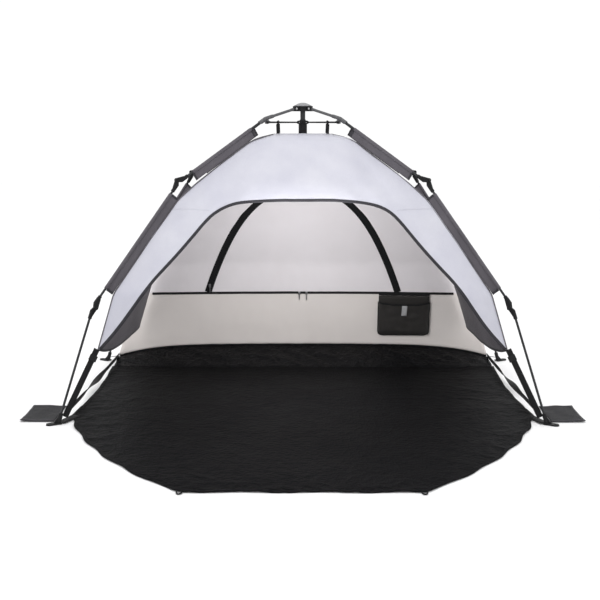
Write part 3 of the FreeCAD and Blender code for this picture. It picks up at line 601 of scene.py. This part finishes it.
sides = {
    "along": 34, "down": 60, "flat": (1.02, 1.10), "area": 0.80, "crease": 0.0035, "tight": 0.0012,
    "sag": 0.006, "hemWidth": 0.010, "hemThick": 0.003, "hemSag": 0.062, "edgeGap": 0.008,
}


def buildSide(sx, name, node):
    rows = []
    for i in range(sides["down"]):
        t = i / (sides["down"] - 1)
        row = []
        for j in range(sides["along"]):
            s = sides["edgeGap"] + (1 - 2 * sides["edgeGap"]) * j / (sides["along"] - 1)
            hem = canopy["cornerZ"] + (canopy["hemRearZ"] - canopy["cornerZ"]) * s
            z = canopy["topRow"] + (hem - canopy["topRow"]) * t
            z -= sides["hemSag"] * math.sin(math.pi * s) * (1 - s) * t ** 6
            p = sidePoint(sx, s, z)
            sag = math.sin(math.pi * s) * math.sin(math.pi * t) * sides["sag"]
            fold = ripple(p, 6.0, 11.0 + sx) * sides["crease"] + ripple(p, 19.0, 4.0 + sx) * sides["tight"]
            row.append(p + Vector((sx * (fold - sag), 0, 0)))
        rows.append(row)
    piece = clothGrid(name, rows, duskCloth)
    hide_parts(node)
    hemPath, hemSide = rows[-1], [a - b for a, b in zip(rows[-2], rows[-1])]
    hem = sweep(name + "Hem", [p + u.normalized() * 0.002 for p, u in zip(hemPath, hemSide)], hemSide,
                flatSection(sides["hemWidth"], sides["hemThick"]), trimCloth)
    crumples(piece, hem)


buildSide(-1, "leftWall", "side_wall_left")
buildSide(1, "rightWall", "side_wall_right")

rear = {
    "across": 110, "down": 90, "flat": (1.95, 1.25), "area": 1.55, "crease": 0.0035, "tight": 0.0014,
    "gather": 0.0016, "reach": 0.996, "seamGap": 0.0015,
}


def rearSurface(share, z, inward=0.0):
    p = rearPoint(share, z, inward)
    drape = ripple(Vector((p.x, 0, p.z * 0.4)), 6.5, 21.0) * rear["crease"]
    small = ripple(Vector((p.x * 1.3, 0, p.z)), 17.0, 2.5) * rear["tight"]
    gather = math.sin(share * 60) * rear["gather"] * eased((0.16 - z) / 0.10) * (1 - abs(share))
    fade = eased((1 - abs(share)) / 0.06)
    return p + Vector((0, (drape + small + gather) * fade, 0))


def buildRear():
    rows = []
    for i in range(rear["down"]):
        t = i / (rear["down"] - 1)
        row = []
        for j in range(rear["across"]):
            s = -rear["reach"] + 2 * rear["reach"] * j / (rear["across"] - 1)
            low = rearSeamZ(s) + rear["seamGap"]
            row.append(rearSurface(s, canopy["topRow"] + (low - canopy["topRow"]) * t))
        rows.append(row)
    piece = clothGrid("rearWall", rows, wallCloth)
    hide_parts("rear_wall")
    crumples(piece)


buildRear()

roofShape = {"count": 31, "flat": (0.30, 0.22), "area": 0.058, "reach": 0.985, "crease": 0.002}


def buildRoof():
    rows = []
    n, reach = roofShape["count"], roofShape["reach"]
    for i in range(n):
        v = -reach + 2 * reach * i / (n - 1)
        row = []
        for j in range(n):
            u = -reach + 2 * reach * j / (n - 1)
            fall = canopy["roofDip"] * (1 - abs(u) ** 2.2) * (1 - abs(v) ** 2.2)
            z = canopy["crownZ"] - fall
            p = Vector((u * canopy["crown"] * cosLeg, v * canopy["crown"] * sinLeg, z))
            row.append(p + Vector((0, 0, ripple(p, 30.0, 5.0) * roofShape["crease"])))
        rows.append(row)
    piece = clothGrid("roofCloth", rows, silverCloth)
    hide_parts("roof")
    crumples(piece)


buildRoof()
print("walls and roof built")


# groundsheet, its turned-up rear, and the apron

ground = {
    "sideHalf": 0.950, "rearY": 0.456, "tieX": 0.970, "tieY": -0.489, "bulgeX": 0.790, "bulgeY": -0.960,
    "frontX": 0.420, "frontY": -1.447, "step": 0.011, "lift": 0.0016, "wave": 0.006, "thick": 0.0012,
    "flat": (1.96, 1.92), "area": 3.24, "hemWidth": 0.016, "hemThick": 0.003, "sideDip": 0.022,
    "scallop": 0.012, "endWave": 0.004,
}


def circleThrough(a, b, c):
    ax, ay, bx, by, cx, cy = *a, *b, *c
    aa, bb, cc = ax * ax + ay * ay, bx * bx + by * by, cx * cx + cy * cy
    d = 2 * (ax * (by - cy) + bx * (cy - ay) + cx * (ay - by))
    ux = (aa * (by - cy) + bb * (cy - ay) + cc * (ay - by)) / d
    uy = (aa * (cx - bx) + bb * (ax - cx) + cc * (bx - ax)) / d
    return ux, uy, math.hypot(ax - ux, ay - uy)


apronArc = circleThrough((ground["tieX"], ground["tieY"]), (ground["bulgeX"], ground["bulgeY"]),
                         (ground["frontX"], ground["frontY"]))


def groundHalf(y):
    if y >= ground["tieY"]:
        share = (ground["rearY"] - y) / (ground["rearY"] - ground["tieY"])
        straight = ground["sideHalf"] + (ground["tieX"] - ground["sideHalf"]) * share
        return straight - ground["sideDip"] * math.sin(math.pi * share)
    ux, uy, r = apronArc
    half = ux + math.sqrt(max(r * r - (y - uy) ** 2, 0.0))
    return half - ground["scallop"] * (1 + math.sin(y * 31)) / 2


def groundHeight(x, y):
    p = Vector((x, y, 0))
    fold = 1 - abs(noise.noise(p * 5.5 + Vector((7, 0, 0)))) * 2
    crinkle = 1 - abs(noise.noise(p * 17.0)) * 2
    edge = eased((abs(x) - 0.45) / 0.5) + eased((-y - 1.1) / 0.35) + 0.35
    return ground["lift"] + (max(fold - 0.55, 0) * 0.9 + max(crinkle - 0.4, 0) * 0.55) * ground["wave"] * edge


def buildGround():
    deep = ground["rearY"] - ground["frontY"]
    m, n = int(deep / ground["step"]), int(1.92 / ground["step"])
    rows = []
    for i in range(m):
        y = ground["rearY"] - deep * i / (m - 1)
        half = groundHalf(y)
        row = []
        for j in range(n):
            s = -1 + 2 * j / (n - 1)
            x = s * half
            rim = ground["endWave"] * math.sin(x * 23) * eased((-y - 1.36) / 0.08)
            row.append(Vector((x, y + rim, groundHeight(x, y))))
        rows.append(row)
    piece = clothGrid("groundCloth", rows, blackSheet, ground["thick"])
    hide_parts("groundsheet")
    rim = [row[0] for row in rows] + rows[-1][1:-1] + [row[-1] for row in reversed(rows)]
    rim = smoothLine(rim[::3] + [rim[-1]], 1)
    inward = [Vector((-p.x, -0.5 - p.y, 0)) for p in rim]
    hem = sweep("groundHem", [p + u.normalized() * 0.006 for p, u in zip(rim, inward)], inward,
                flatSection(ground["hemWidth"], ground["hemThick"]), blackSheet)
    crumples(piece, hem)


buildGround()

tub = {
    "across": 150, "down": 26, "flat": (1.92, 0.20), "area": 0.30, "crinkle": 0.0075, "reach": 0.996,
    "setback": 0.006, "lift": 0.0008, "seamGap": 0.0015, "seamReach": 0.99, "seamSteps": 140,
}


def buildTub():
    rows = []
    for i in range(tub["down"]):
        t = i / (tub["down"] - 1)
        row = []
        for j in range(tub["across"]):
            s = -tub["reach"] + 2 * tub["reach"] * j / (tub["across"] - 1)
            low = Vector((s * ground["sideHalf"], ground["rearY"] - tub["setback"], tub["lift"]))
            high = rearSurface(s, rearSeamZ(s) - tub["seamGap"])
            p = low.lerp(high, t)
            mid = math.sin(math.pi * t)
            sharp = (1 - abs(noise.noise(Vector((p.x * 20, t * 4, 3.0)))) * 2) * 0.6
            wide = 1 - abs(noise.noise(Vector((p.x * 8 + t * 2, t * 2, 9.0)))) * 2
            out = (max(sharp, 0) + max(wide, 0) - 0.5) * tub["crinkle"] * mid
            row.append(p + Vector((0, -out * 0.4, out)))
        rows.append(row)
    piece = clothGrid("tubCloth", rows, tubSheet)
    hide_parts("tub_rear")
    steps = tub["seamSteps"]
    shares = [-tub["seamReach"] + 2 * tub["seamReach"] * k / steps for k in range(steps + 1)]
    line = [rearSurface(s, rearSeamZ(s), 0.002) for s in shares]
    seam = sweep("tubSeam", line, [Vector((0, -0.35, 1))] * len(line), flatSection(0.009, 0.003),
                 webbing)
    crumples(piece, seam)


buildTub()
print("groundsheet built")


# sewn seams of the canopy

seams = {"width": 0.007, "thick": 0.0022}


def seamAlong(name, line, sideOf, finish, width=None):
    return sweep(name, line, sideOf, flatSection(width or seams["width"], seams["thick"]), finish)


def buildSeams():
    made = []
    for name, sx, sy in legs:
        points = frontRidge if sy < 0 else rearRidge
        low = canopy["cornerZ"] + 0.004 if sy < 0 else 0.20
        line = []
        for k in range(80):
            z = canopy["crownZ"] - 0.004 - (canopy["crownZ"] - low) * k / 79
            r = softRadius(points, z) - 0.0005
            line.append(Vector((sx * r * cosLeg, sy * r * sinLeg, z)))
        side = [Vector((-sy * sinLeg * sx, cosLeg, 0))] * len(line)
        made.append(seamAlong("ridgeSeam_" + name, line, side, duskCloth, 0.009))
    z = hood["seamZ"]
    for sx in (-1, 1):
        inner, outer = 0.395, softRadius(frontRidge, z) * cosLeg - 0.006
        line = [hoodPoint(inner + (outer - inner) * k / 24, z + 0.006 * math.sin(k / 24 * 2), sx)
                + Vector((0, -0.0009, 0)) for k in range(25)]
        made.append(seamAlong("hoodSeam" + ("Left" if sx < 0 else "Right"), line, [Vector((0, 0, 1))] * 25,
                              silverCloth, 0.004))
    return made


crumples(*buildSeams())


# gussets: cloth between canopy and pole, sewn round the pole

gusset = {
    "sleeve": 0.0072, "clear": 0.0066, "upper": (0.17, 0.84), "middle": (0.10, 0.86), "rows": 8,
    "keep": 0.30, "steps": 26, "hem": 0.010, "pucker": 0.0022,
}


def legFrame(sx, sy):
    spread = math.atan2(sy * sinLeg, sx * cosLeg)
    return Vector((math.cos(spread), math.sin(spread), 0)), Vector((-math.sin(spread), math.cos(spread), 0))


def inLeg(p, sx, sy):
    out, across = legFrame(sx, sy)
    return out * p.x + across * p.y + Vector((0, 0, p.z))


def buildGusset(name, sx, sy, which, a, b, body):
    across = legFrame(sx, sy)[1]
    n = outward((b - a).normalized())
    lift = inLeg(n, sx, sy)
    low, high = gusset[which]
    count = gusset["steps"]
    center = [inLeg(a.lerp(b, low + (high - low) * k / (count - 1)), sx, sy) for k in range(count)]
    ringOut = roundSection(gusset["sleeve"], 14)
    tube = sweep("poleSleeve_" + which + "_" + name, center, [across] * count, ringOut, duskCloth,
                 body, [1 + 0.05 * ripple(p, 60.0, 2.0) for p in center])
    rows, last = [], gusset["rows"] - 1
    for k in range(count):
        t = k / (count - 1)
        reach = canopy["finDepth"] - 0.003
        row = []
        for q in range(gusset["rows"]):
            depth = gusset["clear"] + (reach - gusset["clear"]) * q / last
            wave = ripple(Vector((t * 3, q * 0.15, sx + 2 * sy)), 4.0, 6.0) * gusset["pucker"]
            row.append(center[k] - lift * depth + across * (wave * math.sin(math.pi * q / last)))
        rows.append(row)
    web = clothGrid("gusset_" + which + "_" + name, rows, duskCloth, 0.0011, body)
    hems = []
    for end, tag in ((0, "Top"), (count - 1, "Low")):
        hems.append(sweep("gussetHem" + tag + "_" + which + "_" + name, rows[end],
                          [center[1] - center[0]] * gusset["rows"], flatSection(gusset["hem"], 0.0026),
                          trimCloth, body))
    for piece in (web, *hems):
        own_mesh(piece)
    return tube


for name, sx, sy in legs:
    buildGusset(name, sx, sy, "upper", elbow, upperEnd, "arm_" + name)
    buildGusset(name, sx, sy, "middle", middleStart, middleEnd, "middle_" + name)
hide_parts("pole_fins")
print("seams and gussets built")


# sand flaps at the front feet

flap = {"rows": 22, "cols": 30, "flat": (0.138, 0.236), "curl": 0.004, "top": 0.0034}


def buildFlaps():
    low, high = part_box("sand_flaps")
    for sx, tag in ((-1, "Left"), (1, "Right")):
        inner = high[0] - flap["flat"][0]
        rows = []
        for i in range(flap["rows"]):
            t = i / (flap["rows"] - 1)
            row = []
            for j in range(flap["cols"]):
                s = j / (flap["cols"] - 1)
                x = inner + flap["flat"][0] * t
                y = low[1] + (high[1] - low[1]) * s
                wave = math.sin(t * 9 + s * 3) * 0.0012 + ripple(Vector((x, y, 0)), 22.0, sx * 4) * 0.0016
                corner = flap["curl"] * (abs(2 * s - 1) ** 4) * t
                row.append(Vector((sx * x, y, flap["top"] + max(wave, -0.002) + corner)))
            rows.append(row)
        piece = clothGrid("sandFlap" + tag, rows, flapCloth, 0.0022)
        hemLine = [row[0] for row in rows] + rows[-1][1:-1] + [row[-1] for row in reversed(rows)]
        middle = Vector((sx * (inner + flap["flat"][0] / 2), (low[1] + high[1]) / 2, 0.004))
        hem = sweep("sandFlapHem" + tag, hemLine, [middle - p for p in hemLine], flatSection(0.011, 0.0042),
                    trimCloth)
        if sx < 0:
            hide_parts("sand_flaps")
        crumples(piece, hem)


buildFlaps()


# webbing

straps = {
    "width": 0.025, "thick": 0.0018, "steps": 40, "sideSag": 0.004, "sideSteps": 90, "rearShare": 0.6,
    "tabWidth": 0.040, "tabInset": 0.020,
}
hangers = {
    "width": 0.015, "across": 0.0115,
    "hands": {"front_left": 1, "front_right": -1, "rear_left": -1, "rear_right": 1},
    "hookZ": 1.214, "hookRadius": 0.0062, "hookWire": 0.0019,
}
pegLoop = {"x": 0.412, "y": -1.4475, "z": 0.0030, "half": 0.009, "reach": 0.022, "wire": 0.0028, "steps": 25}


def strapBetween(name, a, b, facing, width, sag=0.0, twist=0.0, steps=None):
    count = steps or straps["steps"]
    along = (b - a).normalized()
    side = along.cross(facing).normalized()
    path, across = [], []
    for k in range(count):
        t = k / (count - 1)
        path.append(a.lerp(b, t) - Vector((0, 0, sag)) * math.sin(math.pi * t))
        turn = twist * eased((t - 0.25) / 0.5)
        across.append(side * math.cos(turn) + along.cross(side) * math.sin(turn))
    piece = sweep(name, path, across, flatSection(width, straps["thick"]), webbing)
    return piece


def buildStraps():
    for sx, tag in ((-1, "Left"), (1, "Right")):
        top = inLeg(frontCorner + Vector((0.003, 0, 0.004)), sx, -1)
        low = inLeg(footTip + Vector((-0.030, 0, 0.026)), sx, -1)
        front = strapBetween("cornerStrap" + tag, top, low, Vector((0, -1, 0.4)), straps["width"])
        rearTop = inLeg(rearCorner + Vector((-0.006, 0, 0.006)), sx, 1)
        frontLow = inLeg(footTip + Vector((-0.014, 0, 0.036)), sx, -1) + Vector((-sx * 0.012, 0.020, 0))
        long = strapBetween("sideStrap" + tag, rearTop, frontLow, Vector((sx, 0, 0.2)), straps["width"],
                            straps["sideSag"], math.pi, straps["sideSteps"])
        near = inLeg(rearCorner + Vector((0.006, 0, 0)), sx, 1)
        far = inLeg(footTip + Vector((-0.022, 0, 0.022)), sx, 1)
        short = strapBetween("rearStrap" + tag, near, far, Vector((0, 0, 1)),
                             straps["width"] * straps["rearShare"], 0.0, 0.0, 8)
        if sx < 0:
            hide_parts("corner_straps")
            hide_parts("side_straps")
        tie = Vector((sx * (ground["tieX"] - straps["tabInset"]), ground["tieY"] + 0.004, 0.0045))
        tab = strapBetween("floorTab" + tag, tie, inLeg(footTip + Vector((-0.012, 0, 0.0045)), sx, -1),
                           Vector((0, 0, 1)), straps["tabWidth"], 0.0, 0.0, 10)
        crumples(front, long, short, tab)


def buildHangers():
    low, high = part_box("hangers")
    for name, sx, sy in legs:
        out, across = legFrame(sx, sy)
        beside = hangers["across"] * hangers["hands"][name]
        a = inLeg(Vector((canopy["crown"], beside, high[2])), sx, sy)
        b = inLeg(Vector((canopy["crown"] - 0.002, beside, low[2])), sx, sy)
        piece = strapBetween("hanger_" + name, a, b, across, hangers["width"], 0.0, 0.0, 8)
        if name == "front_left":
            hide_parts("hangers")
        middle = inLeg(Vector((canopy["crown"], beside, hangers["hookZ"])), sx, sy)
        ring = []
        for k in range(25):
            turn = k * math.pi / 12
            rise = Vector((0, 0, hangers["hookRadius"] * math.sin(turn)))
            ring.append(middle + across * (hangers["hookRadius"] * math.cos(turn)) + rise)
        hook = sweep("hangerHook_" + name, ring, [out] * 25, roundSection(hangers["hookWire"], 8),
                     mouldedPaint)
        crumples(piece, hook)


def buildPegLoops():
    count = pegLoop["steps"]
    for sx, tag in ((-1, "Left"), (1, "Right")):
        loop = []
        for k in range(count):
            turn = math.pi * (k / (count - 1))
            loop.append(Vector((sx * pegLoop["x"] + pegLoop["half"] * math.cos(turn),
                                pegLoop["y"] - pegLoop["reach"] * math.sin(turn), pegLoop["z"])))
        piece = sweep("pegLoop" + tag, loop, [Vector((0, 0, 1))] * count, roundSection(pegLoop["wire"], 8),
                      webbing)
        if sx < 0:
            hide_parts("peg_loops")
        crumples(piece)


buildStraps()
buildHangers()
buildPegLoops()


# ladder-lock buckles at the canopy's front corners

def rounded(node, name, bevel, finish, body="shelter"):
    mesh = frame["nodes"][node].data.copy()
    piece = bpy.data.objects.new(name, mesh)
    bpy.context.scene.collection.objects.link(piece)
    work = bmesh.new()
    work.from_mesh(mesh)
    bmesh.ops.remove_doubles(work, verts=work.verts, dist=0.00002)
    bmesh.ops.dissolve_limit(work, angle_limit=0.02, verts=work.verts, edges=work.edges)
    bmesh.ops.bevel(work, geom=[e for e in work.edges if e.calc_face_angle(0) > 0.5], offset=bevel,
                    segments=3, profile=0.6, affect="EDGES", clamp_overlap=True)
    work.to_mesh(mesh)
    work.free()
    mesh.materials.clear()
    mesh.materials.append(finish)
    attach(piece, body)
    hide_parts(node)
    return piece


crumples(rounded("corner_buckles", "ladderBuckles", 0.0014, mouldedPaint))
print("webbing built")


# zips on the rear wall

zips = {
    "level": 0.364, "half": 0.7517, "tape": 0.012, "archHalf": 0.4747, "archTop": 0.900, "archTape": 0.034,
    "standOff": 0.0045, "coilWidth": 0.0050, "coilHigh": 0.0026, "pitch": 0.0036, "tapeThick": 0.0014,
    "levelLength": 1.49, "archLength": 1.56, "bend": 0.38,
}


def onWall(x, z, standOff):
    share = x / (softRadius(rearRidge, z) * cosLeg)
    p = rearSurface(share, z)
    rise = rearSurface(share, z + 0.010) - rearSurface(share, z - 0.010)
    return p + Vector((0, -rise.z, rise.y)).normalized() * standOff


def archX(rise):
    return zips["archHalf"] * (1 - rise) ** zips["bend"]


def acrossLine(line):
    last = len(line) - 1
    found = []
    for k in range(last + 1):
        along = (line[min(k + 1, last)] - line[max(k - 1, 0)]).normalized()
        found.append(along.cross(Vector((0, 1, 0))).normalized())
    return found


def zipAlong(name, line, node, tapeWidth, length):
    flat = smoothLine(line, 1)
    even = evenly(flat, int(length / 0.006))
    tape = sweep(name + "Tape", even, acrossLine(even), flatSection(tapeWidth, zips["tapeThick"]),
                 webbing)
    fine = evenly(flat, int(length / (zips["pitch"] / 2)))
    teeth = [1.0 if k % 2 else 0.45 for k in range(len(fine))]
    coil = sweep(name + "Coil", [p - Vector((0, 0.0012, 0)) for p in fine], acrossLine(fine),
                 flatSection(zips["coilWidth"], zips["coilHigh"]), mouldedPaint, "shelter", teeth)
    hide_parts(node)
    crumples(tape, coil)


def buildZips():
    line = [onWall(zips["half"] * (k / 60 - 1), zips["level"], zips["standOff"]) for k in range(121)]
    zipAlong("levelZip", line, "wall_zip_tape", zips["tape"], zips["levelLength"])
    low = zips["level"] + 0.005
    line = []
    for k in range(-60, 61):
        rise = 1 - (k / 60) ** 2
        z = low + (zips["archTop"] - low) * rise
        line.append(onWall(math.copysign(archX(rise), k), z, zips["standOff"]))
    zipAlong("windowZip", line, "window_zip_tape", zips["archTape"], zips["archLength"])


buildZips()
for slider in ("wall_zip_slider_left", "wall_zip_slider_right", "window_zip_slider"):
    crumples(rounded(slider, "pull_" + slider, 0.0008, pinPaint, slider))
print("zips built")


# wall pocket and its plain label

pocket = {
    "width": 0.252, "height": 0.205, "x": 0.5067, "top": 0.352, "cols": 48, "rows": 40, "out": 0.021,
    "round": 0.022, "bind": 0.009, "bindThick": 0.0026, "labelWidth": 0.026, "labelHigh": 0.052,
    "labelDrop": 0.044, "mouthDrop": 0.15, "mouthDip": 0.05, "backOff": 0.0125, "frontOff": 0.014,
    "frontFlat": (0.275, 0.190), "bandHigh": 0.009, "bandThick": 0.002,
}


def pocketPoint(s, t, depth):
    # s across from 0 to 1, t down from the mouth
    x = pocket["x"] + (s - 0.5) * pocket["width"]
    z = pocket["top"] - t * pocket["height"]
    return onWall(x, z, depth)


def pocketDepth(s, t):
    edge = min(1.0, (1 - abs(2 * s - 1)) / 0.16)
    base = min(1.0, (1 - t) / 0.18)
    bulge = math.sqrt(max(edge, 0)) * math.sqrt(max(base, 0))
    pleat = math.sin(s * 26 + t * 3) * 0.0012 * (1 - t)
    sway = ripple(Vector((s * 2, t * 2, 0)), 3.0, 7.0) * 0.003
    return pocket["frontOff"] + (pocket["out"] * bulge + pleat + sway * bulge)


def pocketInset(t):
    left = pocket["round"] / pocket["width"]
    low = max(0.0, (t * pocket["height"] - (pocket["height"] - pocket["round"])) / pocket["round"])
    return left * (1 - math.sqrt(max(1 - low * low, 0.0)))


def pocketFall(s, t):
    return t + (pocket["mouthDrop"] + pocket["mouthDip"] * math.sin(math.pi * s)) * (1 - t)


def buildPocket():
    rows = []
    for i in range(pocket["rows"]):
        t = i / (pocket["rows"] - 1)
        inset = pocketInset(t)
        row = []
        for j in range(pocket["cols"]):
            s = inset + (1 - 2 * inset) * j / (pocket["cols"] - 1)
            row.append(pocketPoint(s, pocketFall(s, t), pocketDepth(s, t)))
        rows.append(row)
    front = clothGrid("pocketFront", rows, pocketMesh)
    back = [[pocketPoint(j / 15, i / 15 * 0.99, pocket["backOff"]) for j in range(16)] for i in range(16)]
    back = clothGrid("pocketBack", back, pocketMesh)
    sidesLine = [row[0] for row in rows] + rows[-1][1:-1] + [row[-1] for row in reversed(rows)]
    center = pocketPoint(0.5, 0.5, 0.016)
    rim = smoothLine(sidesLine[::2] + [sidesLine[-1]], 1)
    bound = flatSection(pocket["bind"], pocket["bindThick"])
    binding = sweep("pocketBinding", rim, [center - p for p in rim], bound, webbing)
    mouth = sweep("pocketMouth", rows[0], [Vector((0, 0, 1))] * len(rows[0]), bound, webbing)
    bandLine = [pocketPoint(k / 30, -0.03, pocket["backOff"]) for k in range(31)]
    band = sweep("pocketTopBand", bandLine, [Vector((0, 0, 1))] * 31,
                 flatSection(pocket["bandHigh"], pocket["bandThick"]), webbing)
    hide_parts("pocket")
    crumples(front, back, binding, mouth, band)


def buildLabel():
    rows = []
    for i in range(8):
        row = []
        for j in range(6):
            s = 0.5 + (j / 5 - 0.5) * pocket["labelWidth"] / pocket["width"] + 0.012 * (1 - i / 7)
            t = (pocket["labelDrop"] + pocket["labelHigh"] * i / 7) / pocket["height"]
            row.append(pocketPoint(s, t, pocketDepth(s, t) + 0.0030))
        rows.append(row)
    label = clothGrid("pocketLabel", rows, labelCloth, 0.0012)
    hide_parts("pocket_label")
    crumples(label)


buildPocket()
buildLabel()
print("pocket built")


# floor, light and camera

studio = {
    "floor": (0.98, 0.98, 0.985), "floorShade": (0.96, 0.96, 0.965), "floorSize": 30.0, "floorZ": -0.001,
    "sky": (1.0, 1.0, 1.0), "skyPower": 1.04,
    "cameraAt": (0.00867, -5.11341, 1.26634), "pitch": 9.4516, "yaw": 0.2358, "view": 29.5045,
}
lights = {
    "key": {"at": (-1.4, -3.2, 5.0), "to": (0, 0, 0.6), "size": 3.0, "power": 45},
    "fill": {"at": (2.8, -4.6, 2.0), "to": (0, 0.3, 0.4), "size": 3.0, "power": 9},
    "top": {"at": (0, 1.0, 5.0), "to": (0, 0, 0), "size": 4.0, "power": 22},
    "inner": {"at": (0.0, -0.45, 0.66), "to": (0, 0.5, 0.35), "size": 0.4, "power": 5.6},
}


def buildStudio():
    half, z = studio["floorSize"] / 2, studio["floorZ"]
    mesh = bpy.data.meshes.new("studioFloor")
    corners = [(-half, -half, z), (half, -half, z), (half, half, z), (-half, half, z)]
    mesh.from_pydata(corners, [], [(0, 1, 2, 3)])
    floor = bpy.data.objects.new("studioFloor", mesh)
    bpy.context.scene.collection.objects.link(floor)
    paint = Paint("floorPaint", {})
    color = paint.blend(paint.grain(0.8), studio["floor"], studio["floorShade"])
    floor.data.materials.append(paint.finish(color, 0.85, paint.grain(4.0), 0.02, 0.001))
    world = bpy.data.worlds.new("studioSky")
    bpy.context.scene.world = world
    world.use_nodes = True
    sky = world.node_tree.nodes["Background"]
    sky.inputs["Color"].default_value = (*studio["sky"], 1)
    sky.inputs["Strength"].default_value = studio["skyPower"]
    for name, look in lights.items():
        lamp = bpy.data.lights.new(name + "Light", "AREA")
        lamp.size, lamp.energy = look["size"], look["power"]
        holder = bpy.data.objects.new(name + "Light", lamp)
        bpy.context.scene.collection.objects.link(holder)
        holder.location = look["at"]
        holder.visible_camera = False
        aim = Vector(look["to"]) - Vector(look["at"])
        holder.rotation_euler = aim.to_track_quat("-Z", "Y").to_euler()


def buildCamera():
    eye = bpy.data.cameras.new("viewCamera")
    eye.sensor_fit = "HORIZONTAL"
    eye.angle = math.radians(studio["view"])
    holder = bpy.data.objects.new("viewCamera", eye)
    bpy.context.scene.collection.objects.link(holder)
    holder.location = studio["cameraAt"]
    holder.rotation_euler = (math.radians(90 - studio["pitch"]), 0, math.radians(studio["yaw"]))
    bpy.context.scene.camera = holder


buildStudio()
buildCamera()
bpy.context.scene.view_settings.view_transform = "Standard"
bpy.context.view_layer.update()
print("scene ready")
